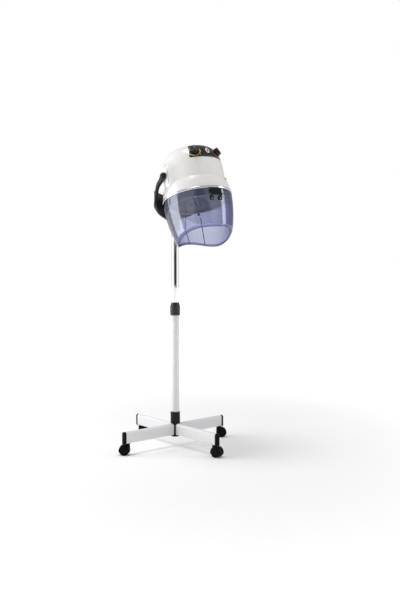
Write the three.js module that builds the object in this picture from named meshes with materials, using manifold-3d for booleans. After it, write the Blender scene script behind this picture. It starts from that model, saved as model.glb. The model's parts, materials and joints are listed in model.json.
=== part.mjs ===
// Salon hood hair dryer on a four-leg caster stand, with a telescopic column.
// Millimetres, +Z up. The hood faces -Y. The origin lies on the floor, under the
// middle of the object's plan, and the column stands a little behind it.

import * as THREE from "three";
import { mergeVertices } from "three/addons/utils/BufferGeometryUtils.js";
import Module from "manifold-3d";

const wasm = await Module();
wasm.setup();

// ---------------------------------------------------------------- driving sizes
const GAP = 0.3;                 // clearance between neighbouring solids
const DEG = Math.PI / 180;

// stand
const COLUMN_Y = 24;             // column axis, behind the origin
const BASE_YAW = 5 * DEG;        // how far the stand is turned under the hood
const LEG_WIDTH = 20;
const LEG_BOTTOM = 55;
const LEG_HEIGHT = 54;
const LEG_START = 16.3;          // inner end of a leg, from the column axis
const LEG_END = 294;
const LEG_WALL = 1.5;
const LEG_CORNER = 2.5;
const HUB_CORE_RADIUS = 15.7;
const HUB_COLLAR_RADIUS = 23;
const HUB_COLLAR_BOTTOM = LEG_BOTTOM + LEG_HEIGHT + GAP;
const HUB_COLLAR_TOP = 166;
const HUB_PLATE_RADIUS = 22;
const HUB_PLATE_THICKNESS = 8;
const BOLT_RECESS_RADIUS = 9;
const BOLT_RECESS_DEPTH = 5;
const CAP_THICKNESS = 12;
const CAP_TONGUE_LENGTH = 19;
const CAP_TONGUE_THICKNESS = 1.8;

// casters
const STEM_RADIUS_FROM_COLUMN = 281;
const STEM_RADIUS = 5.3;
const WHEEL_RADIUS = 23;
const WHEEL_WIDTH = 15.5;
const WEB_HALF = 2;
const FENDER_OUTER = 26;
const FENDER_HALF_WIDTH = 20.5;
const FENDER_WALL = 1.7;
const FENDER_REACH = 18 * DEG;    // how far a fender comes down past the axle's height
const AXLE_RADIUS = 3.5;
const CASTER_TRAIL = 15;
// each leg's place round the stand, and the way its caster trails at rest
const LEGS = [
  { name: "front", turn: -90 * DEG, trail: -76 * DEG },
  { name: "right", turn: 0, trail: -36 * DEG },
  { name: "rear", turn: 90 * DEG, trail: -36 * DEG },
  { name: "left", turn: 180 * DEG, trail: 144 * DEG },
];

// column
const LOWER_TUBE_RADIUS = 19;
const LOWER_TUBE_TOP = 634;
const UPPER_TUBE_RADIUS = 16;
const TUBE_WALL = 1.5;
const UPPER_TUBE_BOTTOM = 455;
const NUT_BOTTOM = 630;
const NUT_TOP = 692;
const NUT_RADIUS = 24;

// yoke
const SOCKET_RADIUS = 23;
const SOCKET_BOTTOM = 1032;
const SOCKET_TOP = 1090;
const SOCKET_CAP = 6;
const YOKE_RADIUS = 177;         // the arms' centre line, in plan, round the tilt axis
const YOKE_THICKNESS = 13;
const PIVOT_BOLT_RADIUS = 5;
const ARM_INNER_X = 163;         // inner face of an arm's end, from the centre plane
const ARM_STRAIGHT = 17;         // how far below the tilt axis an arm starts to flare
const ARM_FLARE = 0.3;

// hood, in its own frame: origin at the centre of the chrome ring, +Z up its axis
const HOOD_TILT = 15.5 * DEG;    // front edge raised
const HOOD_FORWARD = 181;        // ring centre, ahead of the column axis
const HOOD_HEIGHT = 1172;        // ring centre above the floor
const PIVOT_UP = 96.5;           // tilt axis above the ring centre
const RING_RADIUS = 160;
const RING_TOP = 6;
const RING_BOTTOM = -4;
const SHELL_WALL = 3;
const PAD_HALF_WIDTH = 20;        // the raised pads that the yoke's bolts go through
const PAD_HALF_HEIGHT = 38;
const PAD_CORNER = 10;
const SKIRT_TOP = 61;
const SKIRT_RADIUS = 143.5;      // skirt's upper edge
const CROWN_RADIUS = 139.5;      // the shell just above the skirt
const CROWN_START = 64;
const CROWN_TOP = 232;
const CROWN_POWER = 3.6;         // the crown's superellipse exponent

// control panel, measured round the hood from its front
const PANEL_HALF_ANGLE = 39 * DEG;
const PANEL_LOW = 150;
const PANEL_HIGH = 219;
const PANEL_PROUD = 1.2;
const PANEL_DEEP = 1.2;
const CONTROL_HEIGHT = 181;
const KNOB_ANGLE = 28 * DEG;
const KNOB_RADIUS = 20;
const KNOB_HEIGHT = 16;

// visor, below the ring
const VISOR_TOP = -4.4;
const VISOR_WALL = 2.5;
const VISOR_TOP_RADIUS = 158.6;
const VISOR_TURN = -6 * DEG;      // how far the visor is turned round the hood
const VISOR_TAPER = 32;          // how much narrower the visor is at VISOR_DEPTH
const VISOR_DEPTH = 200;
const VISOR_TAPER_POWER = 1.85;
const RIM_HEIGHT = -187;         // the rim's mean height, and its waves round the visor
const RIM_WAVES = [12.5, 12, -9];
const DOOR_TOP = -42;
const DOOR_HALF_WIDTH = 124;
const DOOR_HINGE = { y: -165, z: -36 };

// inside the hood
const DRUM_RADIUS = 142;
const DRUM_BOTTOM = -30;
const DRUM_WALL = 2.5;
const DISH_RADIUS = 119;
const DISH_RISE = 58;
const DISH_WALL = 2;

// ---------------------------------------------------------------- materials
function material(color, roughness, metalness = 0) {
  return new THREE.MeshStandardMaterial({ color, roughness, metalness });
}

const whitePaint = () => material(0xf1f1f3, 0.35);
const whitePlastic = () => material(0xe9e7e3, 0.3);
const blackPlastic = () => material(0x17181a, 0.45);
const greyPlastic = () => material(0x8b8b93, 0.5);
const chromedSteel = () => material(0xd9dadd, 0.12, 1);
const zincSteel = () => material(0xb5b7ba, 0.35, 1);
const visorPlastic = () => {
  const tinted = material(0x8f8fd0, 0.08);
  tinted.transparent = true;
  tinted.opacity = 0.45;
  return tinted;
};

// ---------------------------------------------------------------- solids
// A closed geometry becomes a solid; a geometry that faces inwards is turned out.
function solid(geometry) {
  const bare = geometry.clone();
  bare.deleteAttribute("normal");
  bare.deleteAttribute("uv");
  const merged = mergeVertices(bare, 1e-4);
  const points = merged.attributes.position.array;
  const kept = [];
  let volume = 0;
  for (let i = 0; i < merged.index.count; i += 3) {
    const [a, b, c] = [0, 1, 2].map((k) => merged.index.getX(i + k));
    if (a === b || b === c || c === a) continue;
    kept.push(a, b, c);
    const [p, q, r] = [a, b, c].map((k) => new THREE.Vector3().fromArray(points, 3 * k));
    volume += p.dot(q.cross(r));
  }
  if (volume < 0) kept.reverse();
  return new wasm.Manifold(new wasm.Mesh({
    numProp: 3,
    vertProperties: new Float32Array(points),
    triVerts: new Uint32Array(kept),
  }));
}

function geometryOf(body) {
  const mesh = body.getMesh();
  const geometry = new THREE.BufferGeometry();
  geometry.setAttribute("position", new THREE.BufferAttribute(mesh.vertProperties, 3));
  geometry.setIndex(new THREE.BufferAttribute(mesh.triVerts, 1));
  geometry.computeVertexNormals();
  return geometry;
}

function node(parent, name, body, surface) {
  const mesh = new THREE.Mesh(geometryOf(body), surface);
  mesh.name = name;
  parent.add(mesh);
  return mesh;
}

// A cylinder or cone along Z between two heights.
function post(bottomRadius, topRadius, low, high, sides = 24) {
  const geometry = new THREE.CylinderGeometry(topRadius, bottomRadius, high - low, sides);
  geometry.rotateX(Math.PI / 2);
  geometry.translate(0, 0, (low + high) / 2);
  return solid(geometry);
}

// A cylinder along X or Y, centred on a point.
function rod(axis, radius, length, x, y, z, sides = 16) {
  const geometry = new THREE.CylinderGeometry(radius, radius, length, sides);
  if (axis === "x") geometry.rotateZ(Math.PI / 2);
  geometry.translate(x, y, z);
  return solid(geometry);
}

function box(x0, x1, y0, y1, z0, z1) {
  const geometry = new THREE.BoxGeometry(x1 - x0, y1 - y0, z1 - z0);
  geometry.translate((x0 + x1) / 2, (y0 + y1) / 2, (z0 + z1) / 2);
  return solid(geometry);
}

// A closed outline of [radius, height] points, turned all round the Z axis.
function turned(outline, sides = 32) {
  const points = [...outline, outline[0]].map(([r, z]) => new THREE.Vector2(r, z));
  const geometry = new THREE.LatheGeometry(points, sides);
  geometry.rotateX(Math.PI / 2);
  return solid(geometry);
}

// A half outline that starts and ends on the Z axis, turned all round it.
function turnedSolid(outline, sides = 32) {
  const geometry = new THREE.LatheGeometry(outline.map(([r, z]) => new THREE.Vector2(r, z)), sides);
  geometry.rotateX(Math.PI / 2);
  return solid(geometry);
}

// Loops of points with the same count, skinned in order, with flat ends.
function lofted(loops, capFaces) {
  const count = loops[0].length;
  const position = loops.flat().flatMap((p) => [p.x, p.y, p.z]);
  const index = [];
  for (let i = 0; i + 1 < loops.length; i += 1) {
    for (let j = 0; j < count; j += 1) {
      const a = i * count + j;
      const b = i * count + (j + 1) % count;
      index.push(a, b, b + count, a, b + count, a + count);
    }
  }
  const last = (loops.length - 1) * count;
  for (const [a, b, c] of capFaces) {
    index.push(c, b, a, last + a, last + b, last + c);
  }
  const geometry = new THREE.BufferGeometry();
  geometry.setAttribute("position", new THREE.Float32BufferAttribute(position, 3));
  geometry.setIndex(index);
  return solid(geometry);
}

// A closed outline of [radius, height] points, turned between two angles that are
// measured from the hood's front (-Y) towards +X.
function sector(outline, from, to, steps) {
  const capFaces = THREE.ShapeUtils.triangulateShape(
    outline.map(([r, z]) => new THREE.Vector2(r, z)), []);
  const loops = [];
  for (let i = 0; i <= steps; i += 1) {
    const angle = from + ((to - from) * i) / steps;
    loops.push(outline.map(([r, z]) => new THREE.Vector3(
      r * Math.sin(angle), -r * Math.cos(angle), z)));
  }
  return lofted(loops, capFaces);
}

// An extruded shape, drawn in YZ and running along X.
function alongX(shape, from, to) {
  const geometry = new THREE.ExtrudeGeometry(shape, {
    depth: to - from, bevelEnabled: false, curveSegments: 4,
  });
  geometry.applyMatrix4(new THREE.Matrix4().makeBasis(
    new THREE.Vector3(0, 1, 0), new THREE.Vector3(0, 0, 1), new THREE.Vector3(1, 0, 0)));
  geometry.translate(from, 0, 0);
  return solid(geometry);
}

// ---------------------------------------------------------------- stand
// Upright section with a full-radius top and small bottom corners.
function legSection(inset) {
  const half = LEG_WIDTH / 2 - inset;
  const low = LEG_BOTTOM + inset;
  const corner = Math.max(LEG_CORNER - inset, 0.6);
  const shape = new THREE.Shape();
  shape.moveTo(-half + corner, low);
  shape.lineTo(half - corner, low);
  shape.absarc(half - corner, low + corner, corner, -Math.PI / 2, 0, false);
  shape.absarc(0, LEG_BOTTOM + LEG_HEIGHT - LEG_WIDTH / 2, half, 0, Math.PI, false);
  shape.absarc(-half + corner, low + corner, corner, Math.PI, 1.5 * Math.PI, false);
  return shape;
}

function legBody() {
  const outer = alongX(legSection(0), LEG_START, LEG_END);
  const inner = alongX(legSection(LEG_WALL), LEG_START - 1, LEG_END + 1);
  const stemHole = post(7.5, 7.5, LEG_BOTTOM - 1, LEG_BOTTOM + 5, 10)
    .translate([STEM_RADIUS_FROM_COLUMN, 0, 0]);
  return outer.subtract(inner).subtract(stemHole);
}

function legCapBody() {
  const plate = alongX(legSection(0), LEG_END + GAP, LEG_END + CAP_THICKNESS);
  const plugDepth = LEG_END - STEM_RADIUS_FROM_COLUMN + 13;
  const plugHalf = LEG_WIDTH / 2 - LEG_WALL - 0.5;
  const plug = box(
    LEG_END - plugDepth, LEG_END + CAP_THICKNESS - 1, -plugHalf, plugHalf, LEG_BOTTOM + 3, LEG_BOTTOM + 42);
  const tongue = box(
    LEG_END - CAP_TONGUE_LENGTH - 6, LEG_END + CAP_THICKNESS, -LEG_WIDTH / 2 + 1, LEG_WIDTH / 2 - 1,
    LEG_BOTTOM - GAP - CAP_TONGUE_THICKNESS, LEG_BOTTOM - GAP);
  const apron = box(
    LEG_END + GAP, LEG_END + CAP_THICKNESS, -LEG_WIDTH / 2 + 1, LEG_WIDTH / 2 - 1,
    LEG_BOTTOM - GAP - CAP_TONGUE_THICKNESS, LEG_BOTTOM + 2);
  const bore = post(STEM_RADIUS + GAP, STEM_RADIUS + GAP, LEG_BOTTOM - 5, LEG_BOTTOM + 38, 12)
    .translate([STEM_RADIUS_FROM_COLUMN, 0, 0]);
  return plate.add(plug).add(tongue).add(apron).subtract(bore);
}

function hubBody() {
  const core = post(HUB_CORE_RADIUS, HUB_CORE_RADIUS, LEG_BOTTOM, HUB_COLLAR_BOTTOM + 4);
  const collar = post(HUB_COLLAR_RADIUS, HUB_COLLAR_RADIUS, HUB_COLLAR_BOTTOM, HUB_COLLAR_TOP, 24);
  const seat = post(
    LOWER_TUBE_RADIUS + GAP, LOWER_TUBE_RADIUS + GAP, HUB_COLLAR_BOTTOM + 4, HUB_COLLAR_TOP + 1, 24);
  let hub = core.add(collar);
  for (const { turn } of LEGS) {
    const spigot = box(10, 62, -6.5, 6.5, LEG_BOTTOM + 4, LEG_BOTTOM + 42)
      .rotate([0, 0, turn / DEG]);
    hub = hub.add(spigot);
  }
  const boltBore = post(4.3, 4.3, LEG_BOTTOM - 1, HUB_COLLAR_BOTTOM + 5, 16);
  return hub.subtract(seat).subtract(boltBore);
}

function hubPlateBody() {
  const top = LEG_BOTTOM - GAP;
  const low = top - HUB_PLATE_THICKNESS;
  const plate = post(HUB_PLATE_RADIUS - 2, HUB_PLATE_RADIUS, low, top, 24);
  const recess = post(BOLT_RECESS_RADIUS, BOLT_RECESS_RADIUS, low - 1, low + BOLT_RECESS_DEPTH, 16);
  return plate.subtract(recess).subtract(post(4.3, 4.3, low - 1, top + 1, 16));
}

function hubBoltBody() {
  const headTop = LEG_BOTTOM - GAP - HUB_PLATE_THICKNESS + BOLT_RECESS_DEPTH - GAP;
  const shank = post(4, 4, headTop - 1, HUB_COLLAR_BOTTOM + 3, 12);
  return shank.add(post(7.5, 7.5, headTop - 4, headTop, 6));
}

function casterForkBody() {
  const roomWidth = FENDER_HALF_WIDTH - FENDER_WALL - WEB_HALF - GAP;
  const wheelRoom = (side) => rod(
    "y", WHEEL_RADIUS + 0.9, roomWidth,
    CASTER_TRAIL, side * (WEB_HALF + GAP + roomWidth / 2), WHEEL_RADIUS, 16);
  const hood = new THREE.Shape();
  hood.absarc(CASTER_TRAIL, WHEEL_RADIUS, FENDER_OUTER, -FENDER_REACH, Math.PI + FENDER_REACH, false);
  const hoodGeometry = new THREE.ExtrudeGeometry(hood, {
    depth: 2 * FENDER_HALF_WIDTH, bevelEnabled: false, curveSegments: 10,
  });
  hoodGeometry.applyMatrix4(new THREE.Matrix4().makeBasis(
    new THREE.Vector3(1, 0, 0), new THREE.Vector3(0, 0, 1), new THREE.Vector3(0, -1, 0)));
  hoodGeometry.translate(0, FENDER_HALF_WIDTH, 0);
  const boss = post(10.5, 9, 30, LEG_BOTTOM - GAP - CAP_TONGUE_THICKNESS - GAP, 16);
  const stem = post(STEM_RADIUS, STEM_RADIUS, 40, LEG_BOTTOM + 36, 12);
  const web = rod("y", 12, 2 * WEB_HALF, CASTER_TRAIL, 0, WHEEL_RADIUS, 16);
  return solid(hoodGeometry).add(boss)
    .subtract(wheelRoom(1)).subtract(wheelRoom(-1))
    .add(stem.subtract(wheelRoom(1)).subtract(wheelRoom(-1)))
    .add(web)
    .subtract(rod("y", AXLE_RADIUS + GAP, 10, CASTER_TRAIL, 0, WHEEL_RADIUS, 12));
}

// A wheel with a rounded tread and a recessed face, on the side given.
function casterWheelBody(side) {
  const near = WEB_HALF + 0.7;
  const far = near + WHEEL_WIDTH;
  const wheel = turned([
    [AXLE_RADIUS + GAP, near], [WHEEL_RADIUS - 2.5, near], [WHEEL_RADIUS, near + 3],
    [WHEEL_RADIUS, far - 5], [WHEEL_RADIUS - 4, far], [AXLE_RADIUS + GAP, far],
  ], 18);
  return wheel.rotate([-side * 90, 0, 0]).translate([CASTER_TRAIL, 0, WHEEL_RADIUS]);
}

function addCaster(parent, name) {
  node(parent, `caster_fork_${name}`, casterForkBody(), blackPlastic());
  const axleLength = 2 * (WEB_HALF + WHEEL_WIDTH - 3);
  const axle = rod("y", AXLE_RADIUS, axleLength, CASTER_TRAIL, 0, WHEEL_RADIUS, 12);
  node(parent, `caster_axle_${name}`, axle, zincSteel());
  node(parent, `caster_wheel_${name}_a`, casterWheelBody(1), blackPlastic());
  node(parent, `caster_wheel_${name}_b`, casterWheelBody(-1), blackPlastic());
}

function addStand(parent) {
  const stand = new THREE.Group();
  stand.rotation.z = BASE_YAW;
  parent.add(stand);
  node(stand, "base_hub", hubBody(), blackPlastic());
  node(stand, "hub_plate", hubPlateBody(), blackPlastic());
  node(stand, "hub_bolt", hubBoltBody(), zincSteel());
  for (const { name, turn, trail } of LEGS) {
    const arm = new THREE.Group();
    arm.rotation.z = turn;
    stand.add(arm);
    node(arm, `leg_${name}`, legBody(), whitePaint());
    node(arm, `leg_cap_${name}`, legCapBody(), blackPlastic());
    const caster = new THREE.Group();
    caster.position.x = STEM_RADIUS_FROM_COLUMN;
    caster.rotation.z = trail - turn - BASE_YAW;
    arm.add(caster);
    addCaster(caster, name);
  }
}

// ---------------------------------------------------------------- column
function tube(radius, low, high) {
  return post(radius, radius, low, high, 28)
    .subtract(post(radius - TUBE_WALL, radius - TUBE_WALL, low - 1, high + 1, 28));
}

function lockColletBody() {
  const bore = UPPER_TUBE_RADIUS + GAP;
  const shoulder = LOWER_TUBE_TOP + GAP;
  return turned([
    [bore, shoulder - 48], [LOWER_TUBE_RADIUS - TUBE_WALL - GAP, shoulder - 48],
    [LOWER_TUBE_RADIUS - TUBE_WALL - GAP, shoulder], [LOWER_TUBE_RADIUS, shoulder],
    [LOWER_TUBE_RADIUS, shoulder + 18], [LOWER_TUBE_RADIUS - 1.6, shoulder + 36],
    [bore, shoulder + 36],
  ], 24);
}

function lockNutBody() {
  const skirt = LOWER_TUBE_RADIUS + 0.5;
  const throat = UPPER_TUBE_RADIUS + 0.5;
  let nut = turned([
    [skirt, NUT_BOTTOM], [NUT_RADIUS - 2, NUT_BOTTOM], [NUT_RADIUS, NUT_BOTTOM + 3],
    [NUT_RADIUS, NUT_TOP - 22], [NUT_RADIUS - 1, NUT_TOP - 18], [throat + 1.2, NUT_TOP],
    [throat, NUT_TOP], [throat, LOWER_TUBE_TOP + 42], [skirt, LOWER_TUBE_TOP + 26],
  ], 24);
  const flutes = 8;
  for (let i = 0; i < flutes; i += 1) {
    const flute = post(1.6, 1.6, NUT_BOTTOM + 7, NUT_TOP - 25, 6)
      .translate([NUT_RADIUS + 0.6, 0, 0]).rotate([0, 0, (i * 360) / flutes]);
    nut = nut.subtract(flute);
  }
  return nut;
}

function addColumn(parent) {
  const tubeBottom = HUB_COLLAR_BOTTOM + 4 + GAP;
  const tubeTop = SOCKET_TOP - SOCKET_CAP - GAP;
  node(parent, "lower_tube", tube(LOWER_TUBE_RADIUS, tubeBottom, LOWER_TUBE_TOP), whitePaint());
  node(parent, "lock_collet", lockColletBody(), blackPlastic());
  node(parent, "lock_nut", lockNutBody(), blackPlastic());
  node(parent, "upper_tube", tube(UPPER_TUBE_RADIUS, UPPER_TUBE_BOTTOM, tubeTop), chromedSteel());
}

// ---------------------------------------------------------------- yoke
const PIVOT_Y = -HOOD_FORWARD + PIVOT_UP * Math.sin(HOOD_TILT);
const PIVOT_Z = HOOD_HEIGHT + PIVOT_UP * Math.cos(HOOD_TILT);

// Centre line of one arm, from the tilt axis round to the back of the column: how far
// round it is, its height against the tilt axis, and the strap's height there.
const ARM_STATIONS = [
  { round: -3, drop: 14, tall: 14 },
  { round: -2, drop: 8, tall: 24 },
  { round: 0, drop: 0, tall: 30 },
  { round: 5, drop: -18, tall: 25 },
  { round: 11, drop: -40, tall: 21 },
  { round: 16, drop: -60, tall: 20 },
  { round: 21, drop: -75, tall: 33 },
  { round: 29, drop: -86, tall: 58 },
  { round: 39, drop: -95, tall: 72 },
  { round: 52, drop: -101, tall: 84 },
  { round: 66, drop: -113, tall: 98 },
  { round: 79, drop: -124, tall: 106 },
  { round: 90, drop: -130, tall: 118 },
];

function armPath() {
  const points = ARM_STATIONS.map(({ round, drop }) => new THREE.Vector3(
    YOKE_RADIUS * Math.cos(round * DEG), PIVOT_Y + YOKE_RADIUS * Math.sin(round * DEG), PIVOT_Z + drop));
  return points.map((point) => {
    const below = Math.max(0, PIVOT_Z - point.z - ARM_STRAIGHT);
    point.x = Math.min(point.x, ARM_INNER_X + YOKE_THICKNESS / 2 + below * ARM_FLARE);
    return point;
  });
}

// An eight-sided strap section round a point, thin along `out` and tall along `up`.
function strapLoop(point, out, up, thickness, tall) {
  const a = thickness / 2;
  const b = tall / 2;
  const bevel = 3.5;
  const corners = [
    [a, -b + bevel], [a, b - bevel], [a - bevel, b], [-a + bevel, b],
    [-a, b - bevel], [-a, -b + bevel], [-a + bevel, -b], [a - bevel, -b],
  ];
  return corners.map(([o, u]) => point.clone().addScaledVector(out, o).addScaledVector(up, u));
}

function armBody(side) {
  const path = armPath();
  const loops = path.map((point, i) => {
    const ahead = path[Math.min(i + 1, path.length - 1)];
    const behind = path[Math.max(i - 1, 0)];
    const along = ahead.clone().sub(behind);
    if (i === path.length - 1) along.set(-1, 0, 0);
    const round = Math.max(ARM_STATIONS[i].round, 0) * DEG;
    const out = new THREE.Vector3(Math.cos(round), Math.sin(round), 0);
    const up = out.clone().cross(along).normalize();
    if (up.z < 0 || (i < 3 && up.y < 0)) up.negate();
    const level = new THREE.Vector3(0, 0, 1);
    if (i === path.length - 1) up.copy(level);
    const loop = strapLoop(point, out, up, YOKE_THICKNESS, ARM_STATIONS[i].tall);
    return loop.map((p) => new THREE.Vector3(side * p.x, p.y, p.z));
  });
  const capFaces = THREE.ShapeUtils.triangulateShape(
    strapLoop(new THREE.Vector3(), new THREE.Vector3(1, 0, 0), new THREE.Vector3(0, 1, 0), 12, 30)
      .map((p) => new THREE.Vector2(p.x, p.y)), []);
  return lofted(loops, capFaces);
}

function yokeBody() {
  const socket = post(SOCKET_RADIUS - 1.5, SOCKET_RADIUS, SOCKET_BOTTOM, SOCKET_TOP, 24);
  const rib = box(-17, 17, 0, 26, SOCKET_BOTTOM + 22, SOCKET_TOP)
    .add(box(-17, 17, 8, 26, SOCKET_TOP - 1, SOCKET_TOP + 30));
  const eye = (side) => rod(
    "x", 15.5, YOKE_THICKNESS, side * (ARM_INNER_X + YOKE_THICKNESS / 2), PIVOT_Y, PIVOT_Z, 14);
  const boltBore = rod("x", PIVOT_BOLT_RADIUS + GAP, 400, 0, PIVOT_Y, PIVOT_Z, 12);
  const columnBore = post(
    UPPER_TUBE_RADIUS + 0.8 + GAP, UPPER_TUBE_RADIUS + 0.8 + GAP,
    SOCKET_BOTTOM - 1, SOCKET_TOP - SOCKET_CAP, 24);
  return armBody(1).add(armBody(-1)).add(eye(1)).add(eye(-1)).add(socket).add(rib)
    .subtract(columnBore).subtract(boltBore);
}

// A thin plastic sleeve between the column and the socket.
function swivelBushBody() {
  const bore = UPPER_TUBE_RADIUS + GAP;
  return turned([
    [bore, SOCKET_BOTTOM - 2], [SOCKET_RADIUS - 2, SOCKET_BOTTOM - 2],
    [SOCKET_RADIUS - 2, SOCKET_BOTTOM - GAP], [bore + 0.5, SOCKET_BOTTOM - GAP],
    [bore + 0.5, SOCKET_TOP - SOCKET_CAP - 2], [bore, SOCKET_TOP - SOCKET_CAP - 2],
  ], 24);
}

function pivotBoltBody(side) {
  const inner = 138;
  const outer = ARM_INNER_X + YOKE_THICKNESS + 2.5;
  const middle = (side * (inner + outer)) / 2;
  const shank = rod("x", PIVOT_BOLT_RADIUS, outer - inner, middle, PIVOT_Y, PIVOT_Z, 12);
  const headInner = ARM_INNER_X + YOKE_THICKNESS + GAP;
  const head = rod("x", 8.5, 2.2, side * (headInner + 1.1), PIVOT_Y, PIVOT_Z, 14);
  return shank.add(head);
}

function pivotCapBody(side) {
  const inner = ARM_INNER_X + YOKE_THICKNESS + GAP;
  const cap = rod("x", 11.5, 5.5, side * (inner + 2.75), PIVOT_Y, PIVOT_Z, 14);
  return cap.subtract(rod("x", 8.8, 6, side * inner, PIVOT_Y, PIVOT_Z, 24));
}

function pivotWasherBody(side) {
  const middle = side * (ARM_INNER_X - GAP - 1.2);
  return rod("x", 15, 2.4, middle, PIVOT_Y, PIVOT_Z, 24)
    .subtract(rod("x", PIVOT_BOLT_RADIUS + GAP, 6, middle, PIVOT_Y, PIVOT_Z, 12));
}

function addYoke(parent) {
  node(parent, "yoke", yokeBody(), blackPlastic());
  node(parent, "swivel_bush", swivelBushBody(), greyPlastic());
  for (const [name, side] of [["right", 1], ["left", -1]]) {
    node(parent, `pivot_bolt_${name}`, pivotBoltBody(side), zincSteel());
    node(parent, `pivot_cap_${name}`, pivotCapBody(side), blackPlastic());
    node(parent, `pivot_washer_${name}`, pivotWasherBody(side), greyPlastic());
  }
}

// ---------------------------------------------------------------- hood shell
// The crown's outline is a superellipse: its radius and slope at a height.
function crownRadius(height) {
  const share = (height - CROWN_START) / (CROWN_TOP - CROWN_START);
  return CROWN_RADIUS * (1 - share ** CROWN_POWER) ** (1 / CROWN_POWER);
}

function crownNormal(height) {
  const share = (height - CROWN_START) / (CROWN_TOP - CROWN_START);
  const outward = (crownRadius(height) / CROWN_RADIUS) ** (CROWN_POWER - 1) / CROWN_RADIUS;
  const upward = share ** (CROWN_POWER - 1) / (CROWN_TOP - CROWN_START);
  return new THREE.Vector2(outward, upward).normalize();
}

// [radius, height] points on the crown between two heights, moved out by an offset.
function crownPoints(low, high, steps, offset) {
  const points = [];
  for (let i = 0; i <= steps; i += 1) {
    const height = low + ((high - low) * i) / steps;
    const normal = crownNormal(height);
    points.push([crownRadius(height) + offset * normal.x, height + offset * normal.y]);
  }
  return points;
}

// The whole crown in even steps of its angle, from the skirt to the axis.
function crownArc(steps, offset) {
  const points = [];
  for (let i = 0; i < steps; i += 1) {
    const angle = (i / steps) * (Math.PI / 2);
    const radius = CROWN_RADIUS * Math.cos(angle) ** (2 / CROWN_POWER);
    const height = CROWN_START + (CROWN_TOP - CROWN_START) * Math.sin(angle) ** (2 / CROWN_POWER);
    const normal = i === 0 ? new THREE.Vector2(1, 0) : crownNormal(height);
    points.push([radius + offset * normal.x, height + offset * normal.y]);
  }
  points.push([0, CROWN_TOP + offset]);
  return points;
}

// A group whose +Z is the crown's normal, +Y runs up the panel and +X across it.
function controlSeat(parent, angle) {
  const normal = crownNormal(CONTROL_HEIGHT);
  const around = new THREE.Vector3(Math.cos(angle), Math.sin(angle), 0);
  const out = new THREE.Vector3(
    normal.x * Math.sin(angle), -normal.x * Math.cos(angle), normal.y);
  const up = out.clone().cross(around);
  const seat = new THREE.Group();
  seat.applyMatrix4(new THREE.Matrix4().makeBasis(around, up, out));
  const radius = crownRadius(CONTROL_HEIGHT);
  seat.position.set(radius * Math.sin(angle), -radius * Math.cos(angle), CONTROL_HEIGHT);
  parent.add(seat);
  seat.updateMatrix();
  return seat;
}

// Carries a solid drawn on a seat into the hood's own frame.
function onSeat(seat, body) {
  return body.transform(seat.matrix.elements);
}

const SEAT_ANGLES = { timer: -KNOB_ANGLE, power: 0, heat: KNOB_ANGLE };
const SHAFT_HOLE_RADIUS = 4.5;
const SWITCH_HOLE = { halfWidth: 7.6, halfHeight: 12.1 };

function switchOpening(low, high) {
  return box(-SWITCH_HOLE.halfWidth, SWITCH_HOLE.halfWidth, -SWITCH_HOLE.halfHeight,
    SWITCH_HOLE.halfHeight, low, high);
}

function cutControls(body, seats) {
  return body
    .subtract(onSeat(seats.timer, post(SHAFT_HOLE_RADIUS, SHAFT_HOLE_RADIUS, -12, 12, 16)))
    .subtract(onSeat(seats.heat, post(SHAFT_HOLE_RADIUS, SHAFT_HOLE_RADIUS, -12, 12, 16)))
    .subtract(onSeat(seats.power, switchOpening(-12, 12)));
}

function panelOutline(low, high, proud, deep) {
  return [...crownPoints(low, high, 5, proud), ...crownPoints(low, high, 5, -deep).reverse()];
}

function controlPanelBody(seats) {
  const outline = panelOutline(PANEL_LOW, PANEL_HIGH, PANEL_PROUD, PANEL_DEEP);
  const panel = sector(outline, -PANEL_HALF_ANGLE, PANEL_HALF_ANGLE, 9);
  return cutControls(panel, seats);
}

// A pad's outline on the hood's side, drawn in YZ round the tilt axis.
function padShape() {
  const [width, height, corner] = [PAD_HALF_WIDTH, PAD_HALF_HEIGHT, PAD_CORNER];
  const shape = new THREE.Shape();
  shape.absarc(width - corner, PIVOT_UP + height - corner, corner, 0, 0.5 * Math.PI, false);
  shape.absarc(corner - width, PIVOT_UP + height - corner, corner, 0.5 * Math.PI, Math.PI, false);
  shape.absarc(corner - width, PIVOT_UP - height + corner, corner, Math.PI, 1.5 * Math.PI, false);
  shape.absarc(width - corner, PIVOT_UP - height + corner, corner, 1.5 * Math.PI, 2 * Math.PI, false);
  return shape;
}

function outerShellBody(seats) {
  const rim = RING_TOP + GAP;
  const outer = [
    [RING_RADIUS - 3, rim], [RING_RADIUS - 4.5, 20], [RING_RADIUS - 9.5, 42],
    [SKIRT_RADIUS, SKIRT_TOP], ...crownArc(8, 0),
  ];
  const inner = [
    ...crownArc(5, -SHELL_WALL).reverse(), [SKIRT_RADIUS - SHELL_WALL - 1, SKIRT_TOP - 2],
    [RING_RADIUS - 12.5, 40], [RING_RADIUS - 7.5, 20], [RING_RADIUS - 6, rim],
  ];
  const shell = turned([...outer, ...inner], 36);
  const bossFace = ARM_INNER_X - 2 * GAP - 2.4 - GAP;
  const bossRoot = 128;
  const bosses = alongX(padShape(), bossRoot, bossFace)
    .add(alongX(padShape(), -bossFace, -bossRoot));
  const bolt = (side) => rod("x", PIVOT_BOLT_RADIUS + GAP, 60, side * 150, 0, PIVOT_UP, 12);
  const recess = sector(
    panelOutline(PANEL_LOW - GAP, PANEL_HIGH + GAP, 6, PANEL_DEEP + GAP),
    -PANEL_HALF_ANGLE - 0.2 * DEG, PANEL_HALF_ANGLE + 0.2 * DEG, 9);
  const glandHole = rod("y", 6, 30, 0, 143, 40, 12);
  const whole = shell.add(bosses).subtract(bolt(1)).subtract(bolt(-1))
    .subtract(recess).subtract(glandHole);
  return cutControls(whole, seats);
}

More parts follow.
